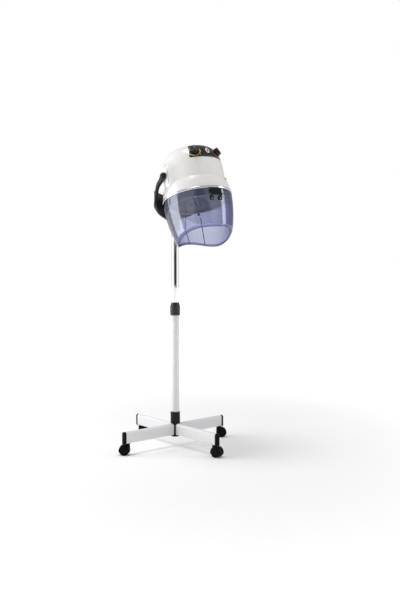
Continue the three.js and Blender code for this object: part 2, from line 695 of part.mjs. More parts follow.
function chromeRingBody() {
  return turned([
    [RING_RADIUS - 9, RING_BOTTOM], [RING_RADIUS - 1.5, RING_BOTTOM], [RING_RADIUS, RING_BOTTOM + 2],
    [RING_RADIUS, RING_TOP - 2], [RING_RADIUS - 1.5, RING_TOP], [RING_RADIUS - 9, RING_TOP],
  ], 36);
}

// The cable's entry at the back of the skirt.
function cordGlandBody() {
  const outside = rod("y", 9, 7, 0, 157.2, 40, 16);
  const neck = rod("y", 5.7, 16, 0, 148, 40, 12);
  return outside.add(neck).subtract(rod("y", 3.4, 40, 0, 150, 40, 12));
}

// ---------------------------------------------------------------- controls
function knobBody() {
  const grip = turnedSolid([
    [0, 3.2], [KNOB_RADIUS, 3.2], [KNOB_RADIUS - 1.8, KNOB_HEIGHT],
    [KNOB_RADIUS - 3.2, KNOB_HEIGHT + 1.4], [0, KNOB_HEIGHT + 1.4],
  ], 20);
  const pointer = box(-1.6, 1.6, -1, KNOB_RADIUS - 2.4, KNOB_HEIGHT, KNOB_HEIGHT + 3);
  return grip.add(pointer).subtract(post(3.3, 3.3, 2, KNOB_HEIGHT - 3, 16));
}

// A clockwork timer or rotary switch: its case inside the shell, its shaft through it.
function controlUnitBody(width, depth) {
  const half = width / 2;
  const front = -11;
  return box(-half, half, -half, half, front - depth, front)
    .add(post(3, 3, front - 1, KNOB_HEIGHT - 4, 16));
}

function switchBezelBody() {
  const flange = post(1, 1, 1.6, 3.8, 24).scale([10, 15, 1]);
  const sleeve = box(-7.2, 7.2, -11.7, 11.7, -18, 3);
  return flange.add(sleeve).subtract(box(-5.9, 5.9, -10.2, 10.2, -16, 5));
}

function rockerBody() {
  const cap = new THREE.Shape();
  cap.moveTo(-8.2, -6);
  cap.lineTo(8.2, -6);
  cap.lineTo(8.6, 2.4);
  cap.lineTo(0, 4.2);
  cap.lineTo(-8.6, 6.2);
  cap.closePath();
  const geometry = new THREE.ExtrudeGeometry(cap, { depth: 11, bevelEnabled: false });
  geometry.applyMatrix4(new THREE.Matrix4().makeBasis(
    new THREE.Vector3(0, 1, 0), new THREE.Vector3(0, 0, 1), new THREE.Vector3(1, 0, 0)));
  geometry.translate(-5.5, 0, 0);
  return solid(geometry);
}

function addControls(seats) {
  node(seats.timer, "timer_unit", controlUnitBody(38, 26), greyPlastic());
  node(seats.timer, "timer_knob", knobBody(), blackPlastic());
  node(seats.heat, "heat_switch", controlUnitBody(30, 22), greyPlastic());
  node(seats.heat, "heat_knob", knobBody(), blackPlastic());
  node(seats.power, "switch_bezel", switchBezelBody(), whitePlastic());
  node(seats.power, "power_rocker", rockerBody(), material(0xc81e1e, 0.35));
}

// ---------------------------------------------------------------- air path
function innerDrumBody() {
  const flange = RING_RADIUS - 12.5;
  return turned([
    [DRUM_RADIUS, DRUM_BOTTOM + 3], [DRUM_RADIUS, RING_TOP + 4], [flange, RING_TOP + 4],
    [flange, RING_TOP + 6.5], [DRUM_RADIUS - DRUM_WALL, RING_TOP + 6.5],
    [DRUM_RADIUS - DRUM_WALL, DRUM_BOTTOM + 4], [DISH_RADIUS + 1, DRUM_BOTTOM + 4],
    [DISH_RADIUS + 1, DRUM_BOTTOM], [DRUM_RADIUS - 3, DRUM_BOTTOM],
  ], 30);
}

// The perforated dish over the head: shallow, hollow side down.
function dishOutline() {
  const low = DRUM_BOTTOM + 1;
  const outer = [];
  const inner = [];
  const steps = 4;
  for (let i = 0; i <= steps; i += 1) {
    const angle = (i / steps) * (Math.PI / 2);
    outer.push([DISH_RADIUS * Math.cos(angle), low + DISH_RISE * Math.sin(angle)]);
    inner.push([
      (DISH_RADIUS - DISH_WALL) * Math.cos(angle), low + (DISH_RISE - DISH_WALL) * Math.sin(angle)]);
  }
  outer[steps][0] = 0;
  inner[steps][0] = 0;
  return [...outer, ...inner.reverse()];
}

function diffuserDishBody() {
  let dish = turned(dishOutline(), 30);
  const slots = 8;
  for (let i = 0; i < slots; i += 1) {
    const slot = box(62, 96, -4, 4, -10, DISH_RISE).rotate([0, 0, ((i + 0.5) * 360) / slots]);
    dish = dish.subtract(slot);
  }
  return dish.subtract(post(16, 16, 0, DISH_RISE, 16));
}

const MOTOR_BOTTOM = 118;
const MOTOR_TOP = 172;
const FAN_BOTTOM = 62;
const FAN_TOP = 96;

function motorBracketBody() {
  const plateTop = MOTOR_BOTTOM - GAP;
  let bracket = post(44, 44, plateTop - 4, plateTop, 24);
  for (let i = 0; i < 3; i += 1) {
    const spoke = box(38, 131, -9, 9, plateTop - 4, plateTop).rotate([0, 0, i * 120 + 30]);
    bracket = bracket.add(spoke);
  }
  return bracket.subtract(post(8, 8, plateTop - 5, plateTop + 1, 20));
}

function motorBody() {
  const can = turnedSolid([
    [0, MOTOR_BOTTOM], [36, MOTOR_BOTTOM], [38, MOTOR_BOTTOM + 3], [38, MOTOR_TOP - 4],
    [32, MOTOR_TOP], [12, MOTOR_TOP], [10, MOTOR_TOP + 8], [0, MOTOR_TOP + 8],
  ], 24);
  return can.subtract(post(4.3, 4.3, MOTOR_BOTTOM - 1, MOTOR_BOTTOM + 32, 16));
}

function fanRotorBody() {
  const shaft = post(4, 4, FAN_BOTTOM, MOTOR_BOTTOM + 30, 16);
  const disc = post(72, 72, FAN_TOP - 3, FAN_TOP, 24);
  let rotor = shaft.add(disc).add(post(13, 13, FAN_BOTTOM, FAN_TOP, 20));
  const blades = 8;
  for (let i = 0; i < blades; i += 1) {
    const blade = box(-15, 15, -1, 1, FAN_BOTTOM, FAN_TOP - 1)
      .rotate([0, 0, 35]).translate([54, 0, 0]).rotate([0, 0, (i * 360) / blades]);
    rotor = rotor.add(blade);
  }
  return rotor;
}

// A mica cross with the resistance wire's ring carried on its four arms.
function heaterBody() {
  const low = 34;
  const high = 52;
  let heater = turned([
    [86, low + 3], [92, low + 3], [95, low + 9], [92, high - 3], [86, high - 3], [83, low + 9],
  ], 24);
  for (let i = 0; i < 4; i += 1) {
    heater = heater.add(box(78, 137, -1.2, 1.2, low, high).rotate([0, 0, i * 90 + 45]));
  }
  return heater;
}

function addAirPath(hood) {
  node(hood, "inner_drum", innerDrumBody(), greyPlastic());
  node(hood, "diffuser_dish", diffuserDishBody(), greyPlastic());
  node(hood, "heater_element", heaterBody(), material(0xa98f6a, 0.6));
  node(hood, "fan_rotor", fanRotorBody(), zincSteel());
  node(hood, "motor_bracket", motorBracketBody(), zincSteel());
  node(hood, "fan_motor", motorBody(), zincSteel());
}

// ---------------------------------------------------------------- visor
function visorRadius(height) {
  return VISOR_TOP_RADIUS - VISOR_TAPER * (-height / VISOR_DEPTH) ** VISOR_TAPER_POWER;
}

function visorOutline(outward, inward, low, high, steps) {
  const outer = [];
  const inner = [];
  for (let i = 0; i <= steps; i += 1) {
    const height = high + ((low - high) * i) / steps;
    outer.push([visorRadius(height) + outward, height]);
    inner.push([visorRadius(height) - inward, height]);
  }
  return [...outer, ...inner.reverse()];
}

// The rim's height at an angle from the visor's front.
function rimHeight(angle) {
  return RIM_WAVES.reduce((height, wave, i) => height + wave * Math.cos((i + 1) * angle), RIM_HEIGHT);
}

// Everything below the rim, as a ring whose top follows it.
function belowRim() {
  const steps = 40;
  const loops = [];
  for (let i = 0; i < steps; i += 1) {
    const angle = (i / steps) * 2 * Math.PI;
    const corners = [[90, -260], [190, -260], [190, rimHeight(angle)], [90, rimHeight(angle)]];
    loops.push(corners.map(([r, z]) => new THREE.Vector3(
      r * Math.sin(angle), -r * Math.cos(angle), z)));
  }
  return lofted([...loops, loops[0]], []);
}

function visorWall() {
  return turned(visorOutline(0, VISOR_WALL, -235, VISOR_TOP, 5), 40).subtract(belowRim());
}

function doorRoom(margin) {
  const half = DOOR_HALF_WIDTH - margin;
  return box(-half, half, -VISOR_TOP_RADIUS - 20, -20, -260, DOOR_TOP - margin);
}

const HINGE_HALF = 30;

function hingeBracketBody() {
  const outerFace = -VISOR_TOP_RADIUS - GAP;
  const plate = box(-HINGE_HALF, HINGE_HALF, outerFace - 3, outerFace, -32, -9);
  const knuckle = rod("x", 4.6, 2 * HINGE_HALF - 28, 0, DOOR_HINGE.y, DOOR_HINGE.z)
    .add(box(-HINGE_HALF + 14, HINGE_HALF - 14, DOOR_HINGE.y - 3, outerFace, DOOR_HINGE.z, -28));
  return plate.add(knuckle)
    .subtract(rod("x", 2 + GAP, 100, 0, DOOR_HINGE.y, DOOR_HINGE.z))
    .subtract(post(VISOR_TOP_RADIUS + GAP, VISOR_TOP_RADIUS + GAP, -60, 0, 40));
}

function hingeLeafBody() {
  let leaf = box(-HINGE_HALF, HINGE_HALF, -VISOR_TOP_RADIUS - 3, -VISOR_TOP_RADIUS + 1, -60, -44);
  for (const side of [1, -1]) {
    const middle = side * (HINGE_HALF - 6.5);
    leaf = leaf.add(rod("x", 4.6, 12, middle, DOOR_HINGE.y, DOOR_HINGE.z))
      .add(box(middle - 6, middle + 6, -VISOR_TOP_RADIUS - 6.8, -VISOR_TOP_RADIUS - 2.2, -50, DOOR_HINGE.z));
  }
  const wallRoom = turnedSolid([
    [0, 0], [visorRadius(0) + GAP, 0], [visorRadius(-44) + GAP, -44], [visorRadius(-70) + GAP, -70], [0, -70],
  ], 40);
  return leaf.subtract(wallRoom).subtract(rod("x", 2 + GAP, 100, 0, DOOR_HINGE.y, DOOR_HINGE.z));
}

function addVisor(hood) {
  const visor = new THREE.Group();
  visor.rotation.z = VISOR_TURN;
  hood.add(visor);
  const wall = visorWall();
  node(visor, "visor_body", wall.subtract(doorRoom(0)), visorPlastic());
  node(visor, "visor_door", wall.intersect(doorRoom(0.8)), visorPlastic());
  node(visor, "hinge_bracket", hingeBracketBody(), blackPlastic());
  node(visor, "hinge_leaf", hingeLeafBody(), blackPlastic());
  const pin = rod("x", 2, 2 * HINGE_HALF, 0, DOOR_HINGE.y, DOOR_HINGE.z);
  node(visor, "hinge_pin", pin, zincSteel());
}

// ---------------------------------------------------------------- whole object
function addHood(parent) {
  const hood = new THREE.Group();
  hood.position.set(0, -HOOD_FORWARD, HOOD_HEIGHT);
  hood.rotation.x = -HOOD_TILT;
  parent.add(hood);
  const seats = {};
  for (const [name, angle] of Object.entries(SEAT_ANGLES)) {
    seats[name] = controlSeat(hood, angle);
  }
  node(hood, "outer_shell", outerShellBody(seats), whitePlastic());
  node(hood, "control_panel", controlPanelBody(seats), blackPlastic());
  node(hood, "chrome_ring", chromeRingBody(), chromedSteel());
  node(hood, "cord_gland", cordGlandBody(), blackPlastic());
  addControls(seats);
  addAirPath(hood);
  addVisor(hood);
}

const dryer = new THREE.Group();
const aboutColumn = new THREE.Group();
aboutColumn.position.y = COLUMN_Y;
dryer.add(aboutColumn);
addStand(aboutColumn);
addColumn(aboutColumn);
addYoke(aboutColumn);
addHood(aboutColumn);

export default dryer;
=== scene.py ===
"""Looks of the salon hood hair dryer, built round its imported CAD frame.

Sizes are in millimetres, as in the CAD source, and MM carries them into metres.
The hood's own frame has its origin in the middle of the chrome ring and +Z up the
hood's axis; angles round the hood run from its front (-Y) towards +X.
"""

import json
import math

import bmesh
import bpy
from mathutils import Matrix, Vector


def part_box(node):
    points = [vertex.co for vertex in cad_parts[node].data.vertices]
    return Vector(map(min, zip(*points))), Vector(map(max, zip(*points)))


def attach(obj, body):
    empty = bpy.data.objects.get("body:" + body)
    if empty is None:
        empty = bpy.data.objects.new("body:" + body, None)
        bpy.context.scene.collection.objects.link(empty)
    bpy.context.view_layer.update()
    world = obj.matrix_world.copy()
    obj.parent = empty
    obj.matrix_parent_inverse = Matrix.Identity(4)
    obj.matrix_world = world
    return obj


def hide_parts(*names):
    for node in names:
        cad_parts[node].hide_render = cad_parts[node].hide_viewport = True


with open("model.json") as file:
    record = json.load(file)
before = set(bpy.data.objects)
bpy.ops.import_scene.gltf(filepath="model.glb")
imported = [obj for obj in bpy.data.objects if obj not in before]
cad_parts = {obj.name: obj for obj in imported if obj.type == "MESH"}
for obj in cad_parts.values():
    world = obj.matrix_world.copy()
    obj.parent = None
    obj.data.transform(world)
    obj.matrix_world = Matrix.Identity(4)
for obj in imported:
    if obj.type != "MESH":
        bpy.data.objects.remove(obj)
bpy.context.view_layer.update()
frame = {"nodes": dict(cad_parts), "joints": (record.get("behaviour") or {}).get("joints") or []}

MM = 0.001
DEG = math.pi / 180
JOINTS = {joint["name"]: joint for joint in frame["joints"]}
SIDES = {"right": 1, "left": -1}


# ---- frame
def place_of(joint):
    return Vector(JOINTS[joint]["pos_m"])


def span(node):
    """Lowest and highest Z of a CAD node, in millimetres."""
    low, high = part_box(node)
    return low.z / MM, high.z / MM


def basis(x, y, z, origin=(0, 0, 0)):
    """The frame whose axes are the given directions."""
    turn = Matrix((x, y, z)).transposed().to_4x4()
    return Matrix.Translation(origin) @ turn


def hood_frame(right):
    up = Vector(JOINTS["fan_spin"]["axis"]).normalized()
    return basis(right, up.cross(right), up, place_of("fan_spin"))


def moved(x, y, z):
    """A shift in millimetres."""
    return Matrix.Translation(Vector((x, y, z)) * MM)


def put(name, data, place=Matrix()):
    """A new object in the scene."""
    obj = bpy.data.objects.new(name, data)
    bpy.context.scene.collection.objects.link(obj)
    obj.matrix_world = place
    return obj


# turns a piece drawn upright so that its +Z runs along +X
ALONG_X = basis((0, 0, -1), (0, 1, 0), (1, 0, 0))
# carries an outline drawn in XY and extruded along Z into YZ, running along X
PROFILE_ALONG_X = basis((0, 1, 0), (0, 0, 1), (1, 0, 0))
COLUMN = Vector((*place_of("lock_nut_turn").xy, 0))
AT_COLUMN = Matrix.Translation(COLUMN)
HOOD = hood_frame(Vector((1, 0, 0)))
# the hood's frame, turned round its axis until the visor's hinge pin lies along X
VISOR = hood_frame(-Vector(JOINTS["visor_flip"]["axis"]).normalized())
PIVOT = place_of("hood_tilt")
PIVOT_UP = (PIVOT - HOOD.translation).length / MM


# ---- camera, floor, light
VIEW_AZIMUTH = -36 * DEG
CAMERA_DISTANCE = 3.60
CAMERA_ASIDE = 0.119
CAMERA_HEIGHT = 0.875
CAMERA_PITCH = 2.74 * DEG
CAMERA_LENS = 45.2


def around(azimuth, distance, height, centre=COLUMN):
    """A point at a compass angle round the column, 0 in front of it, rising towards +X."""
    return Vector((centre.x + distance * math.sin(azimuth),
                   centre.y - distance * math.cos(azimuth), height))


def add_camera():
    data = bpy.data.cameras.new("camera")
    data.lens = CAMERA_LENS
    data.clip_end = 100
    camera = put("camera", data)
    aside = Vector((math.cos(VIEW_AZIMUTH), math.sin(VIEW_AZIMUTH), 0)) * CAMERA_ASIDE
    camera.location = around(VIEW_AZIMUTH, CAMERA_DISTANCE, CAMERA_HEIGHT) + aside
    camera.rotation_euler = (math.pi / 2 - CAMERA_PITCH, 0, VIEW_AZIMUTH)
    bpy.context.scene.camera = camera


def add_softbox(name, azimuth, distance, height, size, radiance, aim_height):
    """An upright area light; radiance is how bright its face looks."""
    data = bpy.data.lights.new(name, "AREA")
    data.shape = "RECTANGLE"
    data.size, data.size_y = size
    data.energy = radiance * math.pi * size[0] * size[1]
    light = put(name, data)
    light.location = around(azimuth, distance, height)
    aim = Vector((COLUMN.x, COLUMN.y, aim_height)) - light.location
    light.rotation_euler = aim.to_track_quat("-Z", "Y").to_euler()


def add_node(tree, kind, inputs=None, **settings):
    """A shader node with its settings and the values of its inputs."""
    node = tree.nodes.new(f"ShaderNode{kind}")
    for name, value in settings.items():
        setattr(node, name, value)
    for name, value in (inputs or {}).items():
        node.inputs[name].default_value = value
    return node


def add_range(tree, from_min, from_max, to_min, to_max, **settings):
    """Carries one range of values into another."""
    return add_node(tree, "MapRange", {"From Min": from_min, "From Max": from_max,
                                       "To Min": to_min, "To Max": to_max}, **settings)


def wire(tree, *wires):
    """Each wire is a node, its output, the next node and that one's input."""
    for source, output, target, entry in wires:
        tree.links.new(source.outputs[output], target.inputs[entry])


def add_world():
    """White all round, with a dark studio behind the camera for the chrome to mirror."""
    world = bpy.data.worlds.new("studio")
    world.use_nodes = True
    bpy.context.scene.world = world
    tree = world.node_tree
    tree.nodes.clear()
    dark = VIEW_AZIMUTH + 11 * DEG
    direction = add_node(tree, "TexCoord")
    toward = add_node(tree, "VectorMath", {1: (math.sin(dark), -math.cos(dark), 0.02)},
                      operation="DOT_PRODUCT")
    fade = add_range(tree, 0.80, 0.93, 0.60, 0.03, interpolation_type="SMOOTHSTEP")
    lit = add_node(tree, "Background")
    seen = add_node(tree, "Background", {"Color": (1, 1, 1, 1)})
    path = add_node(tree, "LightPath")
    mix = add_node(tree, "MixShader")
    out = add_node(tree, "OutputWorld")
    wire(tree, (direction, "Generated", toward, 0), (toward, "Value", fade, "Value"),
         (fade, "Result", lit, "Strength"), (path, "Is Camera Ray", mix, "Fac"),
         (lit, "Background", mix, 1), (seen, "Background", mix, 2), (mix, "Shader", out, "Surface"))


def new_material(name, **inputs):
    """A material with its node tree and its shader, whose inputs are given by name."""
    material = bpy.data.materials.new(name)
    material.use_nodes = True
    shader = material.node_tree.nodes["Principled BSDF"]
    for socket, value in inputs.items():
        shader.inputs[socket.replace("_", " ")].default_value = value
    return material, material.node_tree, shader


def add_floor():
    """Pale floor. It glows a little away from the object, so that it meets the white backdrop."""
    half = 20
    mesh = bpy.data.meshes.new("floor")
    mesh.from_pydata([(-half, -half, 0), (half, -half, 0), (half, half, 0), (-half, half, 0)],
                     [], [(0, 1, 2, 3)])
    paint, tree, shader = new_material("floor", Base_Color=(0.93, 0.93, 0.93, 1), Roughness=0.9,
                                       Specular_IOR_Level=0.1, Emission_Color=(1, 1, 1, 1))
    place = add_node(tree, "TexCoord")
    away = add_node(tree, "VectorMath", operation="LENGTH")
    glow = add_range(tree, 0.6, 3.5, 0.04, 0.75, interpolation_type="SMOOTHSTEP")
    wire(tree, (place, "Object", away, 0), (away, "Value", glow, "Value"),
         (glow, "Result", shader, "Emission Strength"))
    mesh.materials.append(paint)
    put("floor", mesh)


bpy.context.scene.view_settings.view_transform = "Standard"
add_camera()
add_world()
add_floor()
add_softbox("softbox_left", VIEW_AZIMUTH - 88 * DEG, 2.4, 1.35, (2.0, 2.3), 2.6, 1.0)
add_softbox("softbox_right", VIEW_AZIMUTH + 86 * DEG, 2.6, 1.35, (0.7, 2.3), 2.6, 1.0)
add_softbox("softbox_top", VIEW_AZIMUTH - 60 * DEG, 0.9, 5.5, (1.7, 1.7), 11.0, 0.6)


# ---- materials
def noise(tree, size_mm, detail=3.0):
    """A noise pattern with features of about the given size, in the piece's own place."""
    place = add_node(tree, "TexCoord")
    pattern = add_node(tree, "TexNoise", {"Scale": 1 / (size_mm * MM), "Detail": detail})
    wire(tree, (place, "Object", pattern, "Vector"))
    return pattern


def finish(name, colour, other, roughness, grain_mm, bump_mm, cloud_mm=60, metallic=0.0,
           coat=0.0, specular=0.5):
    """A solid finish: two near colours in soft clouds, and a fine grain in roughness and bump."""
    material, tree, shader = new_material(name, Metallic=metallic, Coat_Weight=coat,
                                          Coat_Roughness=0.05, Specular_IOR_Level=specular)
    cloud, grain = noise(tree, cloud_mm), noise(tree, grain_mm)
    blend = add_node(tree, "Mix", data_type="RGBA")
    blend.inputs["A"].default_value = (*colour, 1)
    blend.inputs["B"].default_value = (*other, 1)
    rough = add_range(tree, 0.3, 0.7, *roughness)
    bump = add_node(tree, "Bump", {"Strength": 0.5, "Distance": bump_mm * MM})
    wire(tree, (cloud, "Fac", blend, "Factor"), (blend, "Result", shader, "Base Color"),
         (grain, "Fac", rough, "Value"), (rough, "Result", shader, "Roughness"),
         (grain, "Fac", bump, "Height"), (bump, "Normal", shader, "Normal"))
    return material


def tinted_sheet(name, facing, grazing, gloss_roughness=0.04):
    """Clear tinted plastic. Light that goes through picks up the tint, deeper near the edges."""
    material, tree, _ = new_material(name)
    tree.nodes.clear()
    lean = add_node(tree, "LayerWeight", {"Blend": 0.32})
    cloud, ripple = noise(tree, 90, 2.0), noise(tree, 45, 1.0)
    uneven = add_range(tree, 0, 1, -0.03, 0.03)
    total = add_node(tree, "Math", operation="ADD", use_clamp=True)
    tint = add_node(tree, "Mix", data_type="RGBA")
    tint.inputs["A"].default_value = (*facing, 1)
    tint.inputs["B"].default_value = (*grazing, 1)
    clear = add_node(tree, "BsdfTransparent")
    bump = add_node(tree, "Bump", {"Strength": 0.12, "Distance": 0.4 * MM})
    gloss = add_node(tree, "BsdfGlossy", {"Roughness": gloss_roughness, "Color": (0.95, 0.95, 1.0, 1)})
    edge_on = add_node(tree, "LayerWeight", {"Blend": 0.5})
    steep = add_node(tree, "Math", {1: 5}, operation="POWER")
    mirror = add_range(tree, 0, 1, 0.10, 0.85)
    mix = add_node(tree, "MixShader")
    out = add_node(tree, "OutputMaterial")
    wire(tree, (lean, "Facing", total, 0), (cloud, "Fac", uneven, "Value"),
         (uneven, "Result", total, 1), (total, "Value", tint, "Factor"),
         (tint, "Result", clear, "Color"), (ripple, "Fac", bump, "Height"),
         (bump, "Normal", gloss, "Normal"), (edge_on, "Facing", steep, 0),
         (steep, "Value", mirror, "Value"), (mirror, "Result", mix, "Fac"),
         (clear, "BSDF", mix, 1), (gloss, "BSDF", mix, 2), (mix, "Shader", out, "Surface"))
    return material


def printed(name, colour, other):
    return finish(f"print_{name}", colour, other, (0.35, 0.45), 0.6, 0.01, cloud_mm=6)


def grey(value, tint=(1, 1, 1)):
    return tuple(value * channel for channel in tint)


WARM = (1.0, 0.985, 0.965)
COOL = (0.975, 0.98, 1.0)
BLUISH = (0.80, 0.92, 1.05)
LOOKS = {
    "white_shell": finish("gloss_white_abs", grey(0.80, WARM), grey(0.77, WARM), (0.22, 0.30),
                          3.5, 0.04, cloud_mm=120, coat=0.25),
    "white_paint": finish("white_powder_coat", grey(0.84, COOL), grey(0.80, COOL), (0.30, 0.42),
                          1.6, 0.05, cloud_mm=80, coat=0.1),
    "chrome": finish("polished_chrome", grey(0.80), grey(0.74, COOL), (0.04, 0.09),
                     6.0, 0.01, cloud_mm=50, metallic=1.0),
    "zinc_steel": finish("zinc_plated_steel", grey(0.58, COOL), grey(0.48, WARM), (0.28, 0.42),
                         1.0, 0.02, cloud_mm=8, metallic=1.0),
    "axle_steel": finish("axle_steel", grey(0.55), grey(0.45), (0.25, 0.4), 0.8, 0.02,
                         cloud_mm=6, metallic=1.0),
    "fan_alloy": finish("cast_alloy", grey(0.5), grey(0.42, WARM), (0.4, 0.55), 0.8, 0.04,
                        cloud_mm=10, metallic=1.0),
    "black_moulding": finish("black_nylon", grey(0.005, BLUISH), grey(0.009, BLUISH), (0.30, 0.44),
                             0.9, 0.05, cloud_mm=30, specular=0.22),
    "lock_nut_grey": finish("charcoal_nut", grey(0.020, BLUISH), grey(0.032, BLUISH), (0.26, 0.38),
                            0.9, 0.05, cloud_mm=16, specular=0.35),
    "cap_black": finish("black_cap", grey(0.002), grey(0.004), (0.32, 0.46), 0.9, 0.05,
                        cloud_mm=14, specular=0.08),
    "caster_black": finish("black_caster_nylon", grey(0.002, BLUISH), grey(0.004, BLUISH),
                           (0.28, 0.42), 0.8, 0.05, cloud_mm=12, specular=0.08),
    "wheel_black": finish("black_wheel_tread", grey(0.002), grey(0.005), (0.42, 0.6), 0.7, 0.06,
                          cloud_mm=10, specular=0.08),
    "knob_black": finish("black_knob", grey(0.005, BLUISH), grey(0.009, BLUISH), (0.30, 0.42),
                         0.5, 0.03, cloud_mm=8, specular=0.25),
    "panel_black": finish("panel_foil", (0.007, 0.013, 0.011), (0.011, 0.021, 0.017),
                          (0.20, 0.30), 0.8, 0.02, cloud_mm=20, specular=0.35),
    "switch_white": finish("white_switch", grey(0.82), grey(0.78, WARM), (0.25, 0.33), 1.2, 0.02,
                           cloud_mm=10),
    "switch_red": finish("red_rocker", (0.66, 0.045, 0.02), (0.56, 0.03, 0.015), (0.2, 0.3), 1.2,
                         0.02, cloud_mm=7, coat=0.4),
    "grey_plastic": finish("grey_moulding", grey(0.30, COOL), grey(0.25, COOL), (0.36, 0.48), 1.0,
                           0.05, cloud_mm=40),
    "mica": finish("mica_sheet", (0.42, 0.30, 0.18), (0.30, 0.20, 0.11), (0.4, 0.6), 1.2, 0.06,
                   cloud_mm=9),
    "visor_tint": tinted_sheet("tinted_visor", (0.80, 0.82, 0.905), (0.15, 0.16, 0.42)),
}
VISOR_BAND = tinted_sheet("tinted_visor_band", (0.60, 0.62, 0.82), (0.12, 0.13, 0.38), 0.06)
VISOR_EDGE = tinted_sheet("tinted_visor_edge", (0.16, 0.17, 0.44), (0.04, 0.04, 0.16), 0.12)
VISOR_LOOKS = [LOOKS["visor_tint"], VISOR_BAND, VISOR_EDGE]
PRINT_YELLOW = printed("yellow", (0.72, 0.56, 0.05), (0.66, 0.50, 0.04))
PRINT_ORANGE = printed("orange", (0.70, 0.16, 0.03), (0.62, 0.12, 0.02))
PRINT_RED = printed("red", (0.50, 0.03, 0.02), (0.44, 0.025, 0.015))
PRINT_GREEN = printed("green", (0.02, 0.16, 0.07), (0.015, 0.12, 0.055))
PRINT_WHITE = printed("white", grey(0.75), grey(0.68))


# ---- outlines
def rounded(corners, steps=4, closed=True):
    """A polygon of (x, y, radius) corners with every corner turned into an arc."""
    points = []
    count = len(corners)
    for i, (x, y, radius) in enumerate(corners):
        here = Vector((x, y))
        at_end = not closed and i in (0, count - 1)
        if radius == 0 or at_end:
            points.append((x, y))
            continue
        before = Vector(corners[i - 1][:2]) - here
        after = Vector(corners[(i + 1) % count][:2]) - here
        half = before.angle(after) / 2
        if half > 89.5 * DEG:
            points.append((x, y))
            continue
        reach = min(radius / math.tan(half), 0.49 * before.length, 0.49 * after.length)
        radius = reach * math.tan(half)
        inward = (before.normalized() + after.normalized()).normalized()
        centre = here + inward * (radius / math.sin(half))
        arm = here + before.normalized() * reach - centre
        end = here + after.normalized() * reach - centre
        sweep = (math.pi - 2 * half) * (1 if arm.x * end.y - arm.y * end.x > 0 else -1)
        for k in range(steps + 1):
            turn = sweep * k / steps
            points.append((centre.x + arm.x * math.cos(turn) - arm.y * math.sin(turn),
                           centre.y + arm.x * math.sin(turn) + arm.y * math.cos(turn)))
    return points


def box_outline(left, low, right, high, radius, steps=4):
    return rounded([(left, low, radius), (right, low, radius), (right, high, radius),
                    (left, high, radius)], steps)


def rounded_box(half_width, half_height, radius, steps=5, x=0, y=0):
    """A rounded rectangle round (x, y)."""
    outline = box_outline(-half_width, -half_height, half_width, half_height, radius, steps)
    return [(a + x, b + y) for a, b in outline]


def ellipse(half_width, half_height, count):
    return [(half_width * math.cos(2 * math.pi * i / count),
             half_height * math.sin(2 * math.pi * i / count)) for i in range(count)]


def catmull_rom(rows, steps):
    """A smooth run through rows of numbers, with steps between each pair."""
    run = []
    for i in range(len(rows) - 1):
        a = rows[max(i - 1, 0)]
        b, c = rows[i], rows[i + 1]
        d = rows[min(i + 2, len(rows) - 1)]
        for k in range(steps):
            t = k / steps
            run.append(tuple(
                0.5 * (2 * q + (r - p) * t + (2 * p - 5 * q + 4 * r - s) * t * t
                       + (3 * q - p - 3 * r + s) * t ** 3)
                for p, q, r, s in zip(a, b, c, d)))
    run.append(tuple(rows[-1]))
    return run


# ---- meshes
def mesh_object(name, points, faces, place=Matrix(), closed=True):
    mesh = bpy.data.meshes.new(name)
    mesh.from_pydata([Vector(p) * MM for p in points], [], faces)
    work = bmesh.new()
    work.from_mesh(mesh)
    bmesh.ops.remove_doubles(work, verts=work.verts, dist=2e-6)
    if closed:
        bmesh.ops.recalc_face_normals(work, faces=work.faces)
    work.to_mesh(mesh)
    work.free()
    return put(name, mesh, place)


def shade(obj, angle=32):
    obj.data.shade_smooth()
    obj.data.set_sharp_from_angle(angle=angle * DEG)
    return obj


def settle(obj):
    """Applies the modifiers."""
    graph = bpy.context.evaluated_depsgraph_get()
    obj.data = bpy.data.meshes.new_from_object(obj.evaluated_get(graph))
    obj.modifiers.clear()
    return obj


def bevel(obj, width_mm, segments=3, angle=40):
    modifier = obj.modifiers.new("round_edges", "BEVEL")
    modifier.width = width_mm * MM
    modifier.segments = segments
    modifier.limit_method = "ANGLE"
    modifier.angle_limit = angle * DEG
    return settle(obj)


def boolean(obj, others, operation):
    for other in others:
        modifier = obj.modifiers.new("boolean", "BOOLEAN")
        modifier.operation = operation
        modifier.solver = "MANIFOLD"
        modifier.object = other
        bpy.context.view_layer.update()
        settle(obj)
        bpy.data.objects.remove(other)
    return obj


def join(obj, others):
    """Others' meshes become part of obj's; obj keeps its place."""
    work = bmesh.new()
    work.from_mesh(obj.data)
    for other in others:
        mesh = other.data.copy()
        mesh.transform(obj.matrix_world.inverted() @ other.matrix_world)
        work.from_mesh(mesh)
        bpy.data.objects.remove(other)
    work.to_mesh(obj.data)
    work.free()
    return obj


def quads(rings, close_along):
    """Faces between neighbouring rings of point numbers; a ring may be one repeated point."""
    faces = []
    count = len(rings[0])
    pairs = list(zip(rings, rings[1:]))
    if close_along:
        pairs.append((rings[-1], rings[0]))
    for low, high in pairs:
        for j in range(count):
            k = (j + 1) % count
            face = list(dict.fromkeys([low[j], low[k], high[k], high[j]]))
            if len(face) > 2:
                faces.append(face)
    return faces


def revolved(name, rows, count, point_at, place, close_along):
    """A ring of points for each row of (radius, height, ...); a row of no radius is one point."""
    points, rings = [], []
    for row in rows:
        start = len(points)
        if row[0] < 1e-6:
            rings.append([start] * count)
            points.append((0, 0, row[1]))
        else:
            rings.append(list(range(start, start + count)))
            points += [point_at(j, *row) for j in range(count)]
    return mesh_object(name, points, quads(rings, close_along), place)


